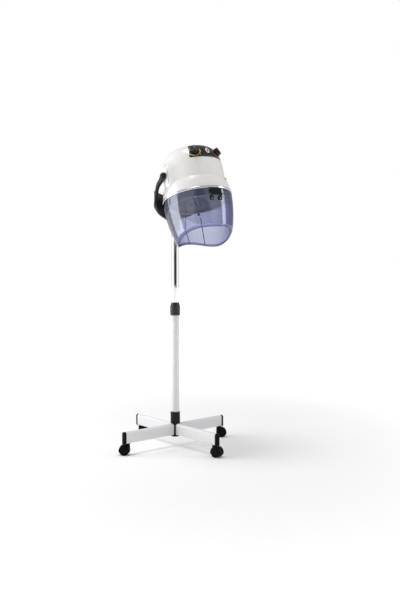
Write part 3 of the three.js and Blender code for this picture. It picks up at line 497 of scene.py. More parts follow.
def turned(name, outline, place=Matrix(), sides=96, shape=None):
    """An outline of (radius, height) points turned about Z. One that starts and ends on the
    axis is a solid, any other closes on itself. shape(angle, radius, height) may vary it."""
    def point_at(j, radius, height):
        angle = 2 * math.pi * j / sides
        if shape:
            radius, height = shape(angle, radius, height)
        return (radius * math.cos(angle), radius * math.sin(angle), height)

    return revolved(name, outline, sides, point_at, place, outline[0][0] >= 1e-6)


def solid(name, corners, place=Matrix(), sides=96, steps=4, shape=None):
    """A turned solid; its outline starts and ends on the axis, and its corners are rounded."""
    return turned(name, rounded(corners, steps, closed=False), place, sides, shape)


def sleeve(name, inner, outer, low, high, rounding, place, sides, steps=3):
    """A plain ring; rounding gives the radii of its inner and of its outer edges."""
    soft, round_off = rounding
    outline = rounded([(inner, low, soft), (outer, low, round_off), (outer, high, round_off),
                       (inner, high, soft)], steps)
    return turned(name, outline, place, sides)


def lofted(name, loops, place=Matrix(), close_along=False):
    count = len(loops[0])
    points = [p for loop in loops for p in loop]
    rings = [list(range(i * count, (i + 1) * count)) for i in range(len(loops))]
    faces = quads(rings, close_along)
    if not close_along:
        faces += [rings[0][::-1], rings[-1]]
    return mesh_object(name, points, faces, place)


def prism(name, outline, low, high, place=Matrix()):
    return lofted(name, [[(x, y, z) for x, y in outline] for z in (low, high)], place)


def stations(run):
    """Each point of a run, with the direction of travel there."""
    for i, point in enumerate(run):
        ahead, behind = run[min(i + 1, len(run) - 1)], run[max(i - 1, 0)]
        yield Vector(point[:3]), (Vector(ahead[:3]) - Vector(behind[:3])).normalized()


def piece(obj, body, slot, *nodes, looks=None, angle=32):
    looks = looks or [LOOKS[slot]]
    if list(obj.data.materials) != looks:
        obj.data.materials.clear()
        for look in looks:
            obj.data.materials.append(look)
    shade(obj, angle)
    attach(obj, body)
    if nodes:
        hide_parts(*nodes)
    return obj


# ---- stand
LEG_WIDTH = 20
LEG_WALL = 1.5
LEG_CORNER = 2.5
LEG_START = 16.3
LEG_LOW, LEG_HIGH = span("leg_right")
LEG_END = (place_of("caster_swivel_right") - COLUMN).length / MM + 13
CAP_REACH = 12
TONGUE_THICKNESS = 1.8
GAP = 0.3
CASTERS = ("front", "right", "rear", "left")


def leg_section(inset):
    half = LEG_WIDTH / 2 - inset
    low, corner = LEG_LOW + inset, max(LEG_CORNER - inset, 0.6)
    shoulder = LEG_HIGH - LEG_WIDTH / 2
    top = [(half * math.cos(a * math.pi / 18), shoulder + half * math.sin(a * math.pi / 18))
           for a in range(19)]
    bottom = rounded([(-half, shoulder, 0), (-half, low, corner), (half, low, corner),
                      (half, shoulder, 0)], 4, closed=False)
    return bottom[1:-1] + top


def leg_place(name):
    out = place_of(f"caster_swivel_{name}") - COLUMN
    return AT_COLUMN @ Matrix.Rotation(math.atan2(out.y, out.x), 4, "Z")


def add_leg(name):
    place = leg_place(name)
    swing = place @ PROFILE_ALONG_X
    loops = [[(x, y, z) for x, y in leg_section(inset)]
             for inset, z in ((0.5, LEG_START), (0, LEG_START + 0.5), (0, LEG_END - 0.5),
                              (0.5, LEG_END), (LEG_WALL, LEG_END), (LEG_WALL, LEG_START))]
    leg = lofted(f"leg_tube_{name}", loops, swing, close_along=True)
    piece(leg, "stand", "white_paint", f"leg_{name}")
    plate = prism(f"leg_end_cap_{name}", leg_section(0), LEG_END + GAP, LEG_END + CAP_REACH, swing)
    bevel(plate, 1.4, 4)
    half = LEG_WIDTH / 2 - 1
    low, high = LEG_LOW - GAP - TONGUE_THICKNESS, LEG_LOW - GAP
    tongue = prism("tongue", rounded_box(18.5, half, 4, x=LEG_END + CAP_REACH - 18.5), low, high, place)
    bevel(tongue, 0.5, 2)
    apron = prism("apron", box_outline(-half, low, half, LEG_LOW + 6, 1),
                  LEG_END + 0.8, LEG_END + CAP_REACH - 0.2, swing)
    half = LEG_WIDTH / 2 - LEG_WALL - 0.5
    plug = prism("plug", box_outline(-half, LEG_LOW + 3, half, LEG_LOW + 42, 2),
                 LEG_END - 26, LEG_END + 1, swing)
    join(plate, [tongue, apron, plug])
    piece(plate, "stand", "cap_black", f"leg_cap_{name}")


def add_hub():
    low, high = span("base_hub")
    shoulder = LEG_HIGH + GAP
    outline = rounded([(4.3, low, 0), (15.7, low, 1), (15.7, shoulder, 1.5), (23, shoulder, 1.2),
                       (23, high - 7, 0.6), (22.3, high - 6, 0.4), (22.3, high - 5, 0.4),
                       (23, high - 4, 0.6), (23, high, 2), (19.3, high, 0.8),
                       (19.3, shoulder + 4, 0.5), (4.3, shoulder + 4, 0.5)], 4)
    hub = turned("base_hub_collar", outline, AT_COLUMN)
    spigot = box_outline(-6.5, LEG_LOW + 4, 6.5, LEG_LOW + 42, 2)
    join(hub, [prism("spigot", spigot, 15, 62, leg_place(name) @ PROFILE_ALONG_X) for name in CASTERS])
    piece(hub, "stand", "black_moulding", "base_hub")
    low, high = span("hub_plate")
    outline = rounded([(4.3, low + 5, 0.3), (9, low + 5, 0.4), (9, low, 0.5), (20, low, 1.5),
                       (22, high - 1.5, 0.8), (22, high, 0.6), (4.3, high, 0.3)])
    plate = turned("hub_bottom_plate", outline, AT_COLUMN, 72)
    piece(plate, "stand", "black_moulding", "hub_plate")


WHEEL_RADIUS = 23
WHEEL_WIDTH = 15.5
WEB_HALF = 2
FENDER_OUTER = 26
FENDER_HALF_WIDTH = 20.5
FENDER_WALL = 1.7
FENDER_REACH = 18 * DEG
AXLE_RADIUS = 3.5
CASTER_TRAIL = (place_of("wheel_spin_right_a") - place_of("caster_swivel_right")).xy.length / MM


def caster_place(name):
    stem = place_of(f"caster_swivel_{name}")
    trail = place_of(f"wheel_spin_{name}_a") - stem
    return Matrix.Translation(stem) @ Matrix.Rotation(math.atan2(trail.y, trail.x), 4, "Z")


def fender_loop(y, radius, start, end, steps=30):
    """One slice of the caster's hood, cut off below by a straight line."""
    angles = [start + (end - start) * i / steps for i in range(steps + 1)]
    return [(CASTER_TRAIL + radius * math.cos(a), y, WHEEL_RADIUS + radius * math.sin(a)) for a in angles]


def caster_hood():
    """Hood over both wheels, with full round shoulders."""
    shoulder = 5
    loops = []
    for k in range(-7, 8):
        bend = abs(k) / 7 * 90 * DEG
        y = (FENDER_HALF_WIDTH - shoulder + shoulder * math.sin(bend)) * ((k > 0) - (k < 0))
        radius = FENDER_OUTER - shoulder + shoulder * math.cos(bend)
        loops.append(fender_loop(y, radius, -FENDER_REACH, math.pi + FENDER_REACH))
    hood = lofted("hood", loops)
    near, far, radius = WEB_HALF + GAP, FENDER_HALF_WIDTH - FENDER_WALL, WHEEL_RADIUS + 1
    room = [(0, near, 0), (radius, near, 3), (radius, far, 3), (0, far, 0)]
    rooms = [solid("room", room, wheel_place(Matrix(), side), 64) for side in (1, -1)]
    return boolean(hood, rooms, "DIFFERENCE")


def take_mesh(obj):
    """Keeps an object's mesh for its copies."""
    mesh = obj.data
    bpy.data.objects.remove(obj)
    return mesh


def wheel_place(caster, side):
    return caster @ moved(CASTER_TRAIL, 0, WHEEL_RADIUS) @ Matrix.Rotation(-side * math.pi / 2, 4, "X")


def caster_fork_mesh():
    hood = caster_hood()
    top = LEG_LOW - 2 * GAP - TONGUE_THICKNESS
    boss = solid("boss", [(0, 32, 0), (11.5, 32, 0), (10.2, 46, 3), (9.2, top, 0.8), (0, top, 0)],
                 sides=48)
    web = sleeve("web", AXLE_RADIUS + GAP, 12, -WEB_HALF, WEB_HALF, (0, 0.4),
                 wheel_place(Matrix(), 1), 48, 4)
    top = LEG_LOW + 36
    stem = solid("stem", [(0, 44, 0), (5.3, 44, 0), (5.3, top, 1.2), (0, top, 0)], sides=32, steps=3)
    join(hood, [boss, web, stem])
    return take_mesh(bevel(hood, 0.6, 2, 50))


def wheel_mesh():
    near = WEB_HALF + 0.7
    far = near + WHEEL_WIDTH
    bore, bore_end = AXLE_RADIUS + GAP, far - 2.4
    wheel = solid("wheel", [(0, bore_end, 0), (bore, bore_end, 0.3), (bore, near, 0.3),
                            (WHEEL_RADIUS, near, 1.6), (WHEEL_RADIUS, far, 4.5), (18.2, far, 0.8),
                            (17, far - 1.6, 0.8), (12, far - 2.0, 1.2), (10.5, far - 0.5, 1),
                            (7.5, far, 1.2), (0, far, 0)], sides=72, steps=5)
    return take_mesh(wheel)


def add_casters():
    fork, wheel = caster_fork_mesh(), wheel_mesh()
    for name in CASTERS:
        place = caster_place(name)
        piece(put(f"caster_hood_{name}", fork.copy(), place), f"caster_{name}", "caster_black",
              f"caster_fork_{name}")
        for letter, side in (("a", 1), ("b", -1)):
            obj = put(f"twin_wheel_{name}_{letter}", wheel.copy(), wheel_place(place, side))
            piece(obj, f"wheel_{name}_{letter}", "wheel_black", f"caster_wheel_{name}_{letter}")


# ---- column
TUBE_WALL = 1.5
LOWER_RADIUS = 19
UPPER_RADIUS = 16
NUT_FLUTES = 8


def add_tube(name, radius, node, body, slot):
    low, high = span(node)
    tube = sleeve(name, radius - TUBE_WALL, radius, low, high, (0.4, 0.6), AT_COLUMN, 96)
    piece(tube, body, slot, node)


def add_lock_nut():
    low, high = span("lock_nut")
    grip_low, grip_high = low + 5, high - 22

    def fluted(angle, radius, height):
        if radius < 22.5:
            return radius, height
        phase = (angle * NUT_FLUTES / (2 * math.pi)) % 1
        across = min(phase, 1 - phase) / 0.11
        groove = math.cos(min(across, 1) * math.pi / 2) ** 2
        ends = min(max((height - grip_low) / 3, 0), max((grip_high - height) / 3, 0), 1)
        return radius - 1.4 * groove * ends, height

    side = [(24, grip_low + (grip_high - grip_low) * i / 16, 0) for i in range(17)]
    outline = rounded([(19.5, low, 0.5), (24, low, 3.5), *side, (24, high - 20, 3.5),
                       (18.0, high, 1.2), (16.5, high, 0.4), (16.5, high - 16, 0.5),
                       (19.5, high - 32, 0.5)], 5)
    nut = turned("height_lock_nut", outline, AT_COLUMN, 192, fluted)
    piece(nut, "lock_nut", "lock_nut_grey", "lock_nut")


# ---- yoke
YOKE_RADIUS = 177
YOKE_THICKNESS = 13
ARM_INNER_X = 163
ARM_STRAIGHT = 17
ARM_FLARE = 0.3
SOCKET = (1032, 1090)
# how far round the arm is in degrees, its height against the tilt axis, the strap's height
ARM_STATIONS = [(-3, 14, 14), (-2, 8, 24), (0, 0, 30), (5, -18, 25), (11, -40, 21), (16, -60, 20),
                (21, -75, 33), (29, -86, 58), (39, -95, 72), (52, -101, 84), (66, -113, 98),
                (79, -124, 106), (90, -130, 118)]


def arm_rows():
    rows = []
    for turn, drop, tall in ARM_STATIONS:
        below = max(0, -drop - ARM_STRAIGHT)
        limit = ARM_INNER_X + YOKE_THICKNESS / 2 + below * ARM_FLARE
        x = min(YOKE_RADIUS * math.cos(turn * DEG), limit)
        rows.append((x, PIVOT.y / MM + YOKE_RADIUS * math.sin(turn * DEG), PIVOT.z / MM + drop, tall,
                     max(turn, 0)))
    mirrored = [(-x, y, z, tall, 180 - turn) for x, y, z, tall, turn in rows[-2::-1]]
    return rows + mirrored


def strap_section(tall):
    """Outline across the strap: x outwards, y up it. The outer face is slightly hollow."""
    half_thick, half_tall = YOKE_THICKNESS / 2, tall / 2
    lip = min(5.0, half_tall * 0.5)
    hollow = 1.4 if tall > 20 else 0.2
    return rounded([(half_thick, -half_tall, 3.5), (half_thick, -half_tall + lip, 1.5),
                    (half_thick - hollow, -half_tall + lip + 3, 3.0),
                    (half_thick - hollow, half_tall - lip - 3, 3.0),
                    (half_thick, half_tall - lip, 1.5), (half_thick, half_tall, 3.5),
                    (-half_thick, half_tall, 3.5), (-half_thick, -half_tall, 3.5)], 3)


def add_yoke():
    run = catmull_rom(arm_rows(), 6)
    loops = []
    up = None
    for (here, along), (*_, tall, turn) in zip(stations(run), run):
        out = Vector((math.cos(turn * DEG), math.sin(turn * DEG), 0))
        before, up = up, out.cross(along).normalized()
        if before and up.dot(before) < 0:
            up.negate()
        out = (out - along * out.dot(along)).normalized()
        loops.append([tuple(here + out * a + up * b) for a, b in strap_section(max(tall, 12))])
    strap = lofted("yoke_strap", loops)
    low, high = SOCKET
    half = YOKE_THICKNESS / 2
    parts = []
    for side in (1, -1):
        centre = (side * (ARM_INNER_X + half) * MM, PIVOT.y, PIVOT.z)
        parts.append(solid("eye", [(0, -half, 0), (15.5, -half, 2.2), (15.5, half, 2.2), (0, half, 0)],
                           Matrix.Translation(centre) @ ALONG_X, 64))
    for name, outline, start, end in (("rib", rounded_box(17, 13, 4, y=13), low + 22, high - 1),
                                      ("neck", rounded_box(17, 9, 3, y=17), high - 4, high + 30)):
        parts.append(bevel(prism(name, outline, start, end, AT_COLUMN), 2, 3))
    parts.append(solid("socket", [(0, low, 0), (21.2, low, 1.5), (22.4, low + 8, 3), (23, high, 4),
                                  (0, high, 0)], AT_COLUMN, steps=5))
    boolean(strap, parts, "UNION")
    bore = turned("bore", [(0, low - 5), (17.1, low - 5), (17.1, high - 6), (0, high - 6)], AT_COLUMN, 64)
    boolean(strap, [bore], "DIFFERENCE")
    bevel(strap, 0.8, 2, 50)
    piece(strap, "yoke", "black_moulding", "yoke")


def add_pivots():
    for side_name, side in SIDES.items():
        place = Matrix.Translation((0, PIVOT.y, PIVOT.z)) @ ALONG_X
        if side < 0:
            place = place @ Matrix.Rotation(math.pi, 4, "Y")
        inner = ARM_INNER_X + YOKE_THICKNESS + GAP
        cap = solid(f"pivot_cover_{side_name}",
                    [(0, inner + 5.5, 0), (6, inner + 5.4, 8), (11.5, inner + 3.6, 3.0),
                     (11.5, inner, 0.5), (8.8, inner, 0.4), (8.8, inner + 3, 0.5), (0, inner + 3, 0)],
                    place, 64, 5)
        piece(cap, "yoke", "black_moulding", f"pivot_cap_{side_name}")
        middle = ARM_INNER_X - GAP - 1.2
        washer = sleeve(f"friction_washer_{side_name}", 5.3, 15, middle - 1.2, middle + 1.2, (0.3, 0.6),
                        place, 64)
        piece(washer, "yoke", "grey_plastic", f"pivot_washer_{side_name}")


# ---- hood shell
RING_RADIUS = 160
RING_TOP = 6
RING_BOTTOM = -4
SHELL_WALL = 3
PAD_HALF_WIDTH = 20
PAD_HALF_HEIGHT = 38
SKIRT_TOP = 61
SKIRT_RADIUS = 143.5
CROWN_RADIUS = 139.5
CROWN_START = 64
CROWN_TOP = 232
CROWN_POWER = 3.6
PANEL_HALF_ANGLE = 39 * DEG
PANEL_LOW = 150
PANEL_HIGH = 219
PANEL_PROUD = 1.2
PANEL_DEEP = 1.2
CONTROL_HEIGHT = 181
KNOB_ANGLE = 28 * DEG
KNOB_RADIUS = 20
KNOB_HEIGHT = 16
DIAL = (24.0, 28.2)
NUMBER_RADIUS = 30.6
NUMBER_SIZE = 4.0


def crown_radius(height):
    share = max((height - CROWN_START) / (CROWN_TOP - CROWN_START), 0)
    return CROWN_RADIUS * (1 - share ** CROWN_POWER) ** (1 / CROWN_POWER)


def crown_normal(height):
    """Outward and upward parts of the crown's normal."""
    share = max((height - CROWN_START) / (CROWN_TOP - CROWN_START), 0)
    outward = (crown_radius(height) / CROWN_RADIUS) ** (CROWN_POWER - 1) / CROWN_RADIUS
    upward = share ** (CROWN_POWER - 1) / (CROWN_TOP - CROWN_START)
    return Vector((outward, upward)).normalized()


def on_crown(angle, height, offset):
    """A point of the hood's frame on the crown, moved out along its normal."""
    normal = crown_normal(height)
    radius = crown_radius(height) + offset * normal.x
    return (radius * math.sin(angle), -radius * math.cos(angle), height + offset * normal.y)


def shell_rows():
    """(radius, height, outward, upward, outside) round the shell's wall, from its rim."""
    crown_steps = 48
    heights = []
    for i in range(1, crown_steps):
        bend = i / crown_steps * math.pi / 2
        heights.append(CROWN_START + (CROWN_TOP - CROWN_START) * math.sin(bend) ** (2 / CROWN_POWER))
    edge = 0.12
    low, high = PANEL_LOW - GAP, PANEL_HIGH + GAP
    heights = [h for h in heights if min(abs(h - low), abs(h - high)) > 0.6]
    heights = sorted(heights + [low, low + edge, high - edge, high])
    skirt = rounded([(RING_RADIUS - 6, RING_TOP + GAP, 0.4), (RING_RADIUS - 3, RING_TOP + GAP, 0.8),
                     (RING_RADIUS - 4.5, 20, 60), (RING_RADIUS - 9.5, 42, 80),
                     (SKIRT_RADIUS, SKIRT_TOP, 2.5), (CROWN_RADIUS, CROWN_START, 2.5),
                     (CROWN_RADIUS, 80, 0)], 5, closed=False)[:-1]
    skirt = [p for p in skirt if p[1] < CROWN_START + 3.2]
    rows = [(r, h, 1, 0, False) for r, h in skirt]
    rows += [(crown_radius(h), h, *crown_normal(h), True) for h in heights if h > CROWN_START + 3.2]
    rows.append((0, CROWN_TOP, 0, 1, False))
    inside = []
    for i in range(25):
        bend = (24 - i) / 24 * math.pi / 2
        r = (CROWN_RADIUS - SHELL_WALL) * max(math.cos(bend), 0) ** (2 / CROWN_POWER)
        h = CROWN_START + (CROWN_TOP - SHELL_WALL - CROWN_START) * math.sin(bend) ** (2 / CROWN_POWER)
        inside.append((0 if i == 0 else r, h, 0, 0, False))
    inside += [(SKIRT_RADIUS - 4, SKIRT_TOP - 2, 0, 0, False), (RING_RADIUS - 12.5, 40, 0, 0, False),
               (RING_RADIUS - 7.5, 20, 0, 0, False)]
    return rows + inside


def shell_angles():
    edge = PANEL_HALF_ANGLE + 0.2 * DEG
    step = 0.05 * DEG
    angles = [-math.pi + i * 2 * DEG for i in range(180)]
    angles = [a for a in angles if abs(abs(a) - edge) > 0.4 * DEG]
    return sorted(angles + [edge, edge - step, -edge, -edge + step])


def add_shell():
    angles = shell_angles()
    recess_edge = PANEL_HALF_ANGLE + 0.18 * DEG
    low, high = PANEL_LOW - GAP + 0.05, PANEL_HIGH + GAP - 0.05

    def point_at(j, radius, height, outward, upward, outside):
        angle = angles[j]
        recessed = outside and low < height < high and abs(angle) < recess_edge
        sunk = PANEL_DEEP + GAP if recessed else 0
        radius -= sunk * outward
        return (radius * math.sin(angle), -radius * math.cos(angle), height - sunk * upward)

    shell = revolved("hood_shell", shell_rows(), len(angles), point_at, HOOD, True)
    face = ARM_INNER_X - 2 * GAP - 2.4 - GAP
    boolean(shell, [lofted("pad", pad_loops(side, face), HOOD) for side in (1, -1)], "UNION")
    piece(shell, "hood", "white_shell", "outer_shell", angle=28)


def pad_loops(side, face):
    """The flat pad that the tilt bolt goes through: a low step on a foot that flares widely."""
    loops = []
    for x, grow in ((119, 52), (128, 38), (136, 27), (143, 18.5), (149, 11), (153, 5), (154.4, 1.6),
                    (154.6, 0), (face - 1.0, -0.2), (face - 0.3, -1.2), (face, -3)):
        outline = rounded_box(PAD_HALF_WIDTH + grow, PAD_HALF_HEIGHT + grow, 13 + grow, 8)
        loops.append([(side * x, y, PIVOT_UP + z) for y, z in outline])
    return loops


def add_ring():
    ring = sleeve("chrome_band", RING_RADIUS - 9, RING_RADIUS, RING_BOTTOM, RING_TOP, (0.4, 3.6),
                  HOOD, 256, 8)
    piece(ring, "hood", "chrome", "chrome_ring")


def add_gland():
    place = HOOD @ moved(0, 0, 40) @ Matrix.Rotation(-math.pi / 2, 4, "X")
    outline = rounded([(3.4, 142, 0.3), (5.7, 142, 0.5), (5.7, 153.7, 0.3), (9, 153.7, 0.6),
                       (9, 157, 1), (7.6, 160.7, 1.4), (3.4, 160.7, 1)], 4)
    gland = turned("cord_inlet_gland", outline, place, 48)
    piece(gland, "hood", "black_moulding", "cord_gland")


# ---- controls
def seat(angle):
    """Frame on the crown: +Z out along its normal, +X across the panel, +Y up it."""
    normal = crown_normal(CONTROL_HEIGHT)
    across = Vector((math.cos(angle), math.sin(angle), 0))
    out = Vector((normal.x * math.sin(angle), -normal.x * math.cos(angle), normal.y))
    origin = Vector(on_crown(angle, CONTROL_HEIGHT, 0)) * MM
    return HOOD @ basis(across, out.cross(across), out, origin)


def panel_point(angle, x, y, offset):
    """Lays a point drawn flat round a control's middle onto the panel."""
    height = CONTROL_HEIGHT + y * crown_normal(CONTROL_HEIGHT).x
    turn = angle + x / crown_radius(CONTROL_HEIGHT)
    return on_crown(turn, height, PANEL_PROUD + offset)


def add_panel():
    columns, rows = 48, 18
    heights = [PANEL_LOW + (PANEL_HIGH - PANEL_LOW) * k / rows for k in range(rows + 1)]
    loops = []
    for i in range(columns + 1):
        angle = PANEL_HALF_ANGLE * (2 * i / columns - 1)
        loops.append([on_crown(angle, h, PANEL_PROUD) for h in heights]
                     + [on_crown(angle, h, -PANEL_DEEP) for h in reversed(heights)])
    panel = lofted("control_fascia", loops, HOOD)
    piece(bevel(panel, 0.5, 3, 50), "hood", "panel_black", "control_panel")


def add_print(name, stops, look):
    """A thin printed band; a stop is its inner edge's two points, then its outer edge's."""
    points = [point for stop in stops for point in stop]
    last = len(points) - 4
    faces = []
    for a in range(0, last, 4):
        b = a + 4
        faces += [(a + 1, b + 1, b + 3, a + 3), (a, a + 2, b + 2, b), (a, b, b + 1, a + 1),
                  (a + 2, a + 3, b + 3, b + 2)]
    faces += [(0, 1, 3, 2), (last, last + 2, last + 3, last + 1)]
    piece(mesh_object(name, points, faces, HOOD), "hood", "panel_black", looks=[look])


def add_arc(name, angle, start, end, look):
    """A printed arc round a control: angles in degrees, anticlockwise from the panel's right."""
    steps = max(int(abs(end - start) / 5), 4)
    stops = []
    for i in range(steps + 1):
        turn = (start + (end - start) * i / steps) * DEG
        stops.append([panel_point(angle, radius * math.cos(turn), radius * math.sin(turn), offset)
                         for radius in DIAL for offset in (0.04, 0.16)])
    add_print(name, stops, look)


def add_number(name, text, angle, turn):
    """A small printed number, laid onto the panel outside a dial's arcs."""
    data = bpy.data.curves.new(name, "FONT")
    data.body = text
    data.size = NUMBER_SIZE * MM
    data.align_x = "CENTER"
    data.align_y = "CENTER"
    data.extrude = 0.05 * MM
    data.resolution_u = 3
    temp = put(name, data)
    bpy.context.view_layer.update()
    graph = bpy.context.evaluated_depsgraph_get()
    mesh = bpy.data.meshes.new_from_object(temp.evaluated_get(graph))
    bpy.data.objects.remove(temp)
    centre_x, centre_y = NUMBER_RADIUS * math.cos(turn * DEG), NUMBER_RADIUS * math.sin(turn * DEG)
    for vertex in mesh.vertices:
        x, y, z = vertex.co / MM
        vertex.co = Vector(panel_point(angle, centre_x + x, centre_y + y, 0.1 + z)) * MM
    piece(put(name, mesh, HOOD), "hood", "panel_black", looks=[PRINT_WHITE])


def add_dials():
    timer, heat = -KNOB_ANGLE, KNOB_ANGLE
    for name, angle, start, end, look in (
            ("timer_low", timer, 200, 262, PRINT_YELLOW), ("timer_middle", timer, 266, 322, PRINT_ORANGE),
            ("timer_high", timer, 326, 372, PRINT_YELLOW), ("timer_end", timer, 376, 412, PRINT_RED),
            ("heat_low", heat, 150, 214, PRINT_RED), ("heat_middle", heat, 218, 262, PRINT_ORANGE),
            ("heat_high", heat, 266, 334, PRINT_YELLOW)):
        add_arc(f"dial_{name}", angle, start, end, look)
    for i, text in enumerate(("0", "15", "30", "45", "60")):
        add_number(f"timer_mark_{text}", text, timer, 225 - i * 67.5)
    for i, text in enumerate(("0", "1", "2", "3")):
        add_number(f"heat_mark_{text}", text, heat, 215 - i * 83)
    add_stripe("fascia_stripe_lower", 3.5, 5.3)
    add_stripe("fascia_stripe_upper", 64.0, 64.8)


def add_stripe(name, below, above):
    """A thin green line along the fascia, between two heights above its lower edge."""
    steps = 40
    stops = []
    for i in range(steps + 1):
        turn = PANEL_HALF_ANGLE * 0.93 * (2 * i / steps - 1)
        stops.append([on_crown(turn, PANEL_LOW + height, PANEL_PROUD + offset)
                         for height in (below, above) for offset in (0.02, 0.10)])
    add_print(name, stops, PRINT_GREEN)


def add_knob(name, body, node, angle):
    ribs = 20
    top = KNOB_HEIGHT + 1.4

    def ribbed(turn, radius, height):
        if radius < 9 or height > top - 1.5 or height < 7:
            return radius, height
        return radius - 0.55 * (0.5 + 0.5 * math.cos(turn * ribs)) ** 2, height

    place, edge = seat(angle), KNOB_RADIUS
    knob = solid(name, [(0, 3.2, 0), (edge, 3.2, 0.5), (edge, 6, 0.8), (edge - 1.6, 6.8, 0.5),
                        (edge - 1.7, 8, 0), (edge - 2, 12, 0), (edge - 2.6, top, 1.6),
                        (edge - 6, top, 1.5), (edge - 7, top - 0.6, 1.5), (0, top - 0.6, 0)],
                 place, 160, shape=ribbed)
    grip = prism("grip", rounded_box(2.6, edge - 2.2, 2.4), 12, KNOB_HEIGHT + 3.4, place)
    join(knob, [bevel(grip, 0.9, 3)])
    piece(knob, body, "knob_black", node)
    mark = prism(f"{name}_mark", rounded_box(0.7, 4.5, 0.6, 3, y=7.5),
                 KNOB_HEIGHT + 3.3, KNOB_HEIGHT + 3.6, place)
    piece(mark, body, "knob_black", looks=[PRINT_WHITE])


def add_switch():
    place, count, power = seat(0), 72, 5
    opening = []
    for x, y in ellipse(1, 1, count):
        r = (abs(x / 5.9) ** power + abs(y / 9.2) ** power) ** (-1 / power)
        opening.append((r * x, r * y))
    loops = []
    for half_width, half_height, z in ((10, 15, 1.5), (10, 15, 2.6), (9.8, 14.8, 3.3), (9.2, 14.2, 3.75),
                                       (8.4, 13.4, 3.9)):
        loops.append([(x, y, z) for x, y in ellipse(half_width, half_height, count)])
    for grow, z in ((1.06, 3.9), (1.0, 3.5), (1.0, -6)):
        loops.append([(x * grow, y * grow, z) for x, y in opening])
    for z in (-6, 1.5):
        loops.append([(x, y, z) for x, y in ellipse(7.4, 11.6, count)])
    bezel = lofted("rocker_bezel", loops, place, close_along=True)
    piece(bezel, "hood", "switch_white", "switch_bezel")
    outline = rounded([(-7.2, -5, 0.5), (7.2, -5, 0.5), (7.2, 2.4, 0.8), (1.5, 3.6, 6), (-1.5, 4.3, 6),
                       (-7.2, 5.7, 0.8)], 5)
    rocker = prism("rocker_cap", outline, -4.9, 4.9, place @ PROFILE_ALONG_X)
    piece(bevel(rocker, 0.6, 3), "power_rocker", "switch_red", "power_rocker")


# ---- air path
DRUM_RADIUS = 142
DRUM_BOTTOM = -30
DRUM_WALL = 2.5
DISH_RADIUS = 119
DISH_RISE = 58
DISH_WALL = 2
HOLE_RADIUS = 3.2


def add_drum():
    flange = RING_RADIUS - 12.5
    outline = rounded([(DRUM_RADIUS, DRUM_BOTTOM, 4), (DRUM_RADIUS, RING_TOP + 4, 0.6),
                       (flange, RING_TOP + 4, 0.6), (flange, RING_TOP + 6.5, 0.8),
                       (DRUM_RADIUS - DRUM_WALL, RING_TOP + 6.5, 1),
                       (DRUM_RADIUS - DRUM_WALL, DRUM_BOTTOM + 3, 2),
                       (DISH_RADIUS + 1, DRUM_BOTTOM + 3, 0.8), (DISH_RADIUS + 1, DRUM_BOTTOM, 0.8)], 5)
    drum = turned("air_drum", outline, HOOD, 192)
    piece(drum, "hood", "grey_plastic", "inner_drum")


def add_dish():
    low = DRUM_BOTTOM + 1

    def bowl(radius, rise, steps=24):
        bends = [i / steps * math.pi / 2 for i in range(steps)]
        return [(radius * math.cos(a), low + rise * math.sin(a)) for a in bends] + [(0, low + rise)]

    outer, inner = bowl(DISH_RADIUS, DISH_RISE), bowl(DISH_RADIUS - DISH_WALL, DISH_RISE - DISH_WALL)
    dish = turned("air_dish", outer[::-1] + inner, HOOD, 160)
    points, faces = [], []
    hole = ellipse(HOLE_RADIUS, HOLE_RADIUS, 12)
    for radius, count in ((30, 8), (44, 12), (58, 16), (72, 20), (86, 24), (99, 28)):
        for i in range(count):
            turn = 2 * math.pi * (i + 0.5 * (count % 8 == 4)) / count
            start = len(points)
            for z in (-10, DISH_RISE):
                points += [(radius * math.cos(turn) + x, radius * math.sin(turn) + y, z) for x, y in hole]
            low_ring = list(range(start, start + len(hole)))
            high_ring = [p + len(hole) for p in low_ring]
            faces += quads([low_ring, high_ring], False) + [low_ring[::-1], high_ring]
    holes = mesh_object("holes", points, faces, HOOD)
    middle = turned("middle", [(0, 0), (16, 0), (16, DISH_RISE), (0, DISH_RISE)], HOOD, 48)
    boolean(dish, [holes, middle], "DIFFERENCE")
    piece(dish, "hood", "grey_plastic", "diffuser_dish")


# ---- visor
VISOR_TOP = -4.4
VISOR_WALL = 2.5
VISOR_TOP_RADIUS = 158.6
VISOR_TAPER = 32
VISOR_DEPTH = 200
VISOR_TAPER_POWER = 1.85
RIM_HEIGHT = -187
RIM_WAVES = (12.5, 12, -9)
DOOR_TOP = -42
DOOR_HALF_WIDTH = 124
DOOR_CORNER = 16
DOOR_GAP = 0.8
LIP_HEIGHT = 13
LIP_IN = 5
REAR_RIBS = {"middle": 180, "right": 148, "left": 212}
HINGE_HALF = 30


def visor_radius(height):
    return VISOR_TOP_RADIUS - VISOR_TAPER * (-height / VISOR_DEPTH) ** VISOR_TAPER_POWER


def rim_height(angle):
    return RIM_HEIGHT + sum(wave * math.cos((i + 1) * angle) for i, wave in enumerate(RIM_WAVES))


def door_edge(height, margin=0.0):
    """Angle from the front to the flap's upright edge, which keeps its distance from the middle."""
    return math.asin(min((DOOR_HALF_WIDTH - margin) / visor_radius(height), 1))


def down_to_rim(angle_at):
    """The height where a column whose angle changes with height meets the rim."""
    height = RIM_HEIGHT
    for _ in range(8):
        height = rim_height(angle_at(height))
    return height


def visor_point(angle, height, offset=0.0):
    """A point on the visor's outside; its last stretch above the rim turns in."""
    above = height - rim_height(angle)
    lip = LIP_IN * max(1 - above / LIP_HEIGHT, 0) ** 2
    radius = visor_radius(height) + offset - lip
    return (radius * math.sin(angle), -radius * math.cos(angle), height)


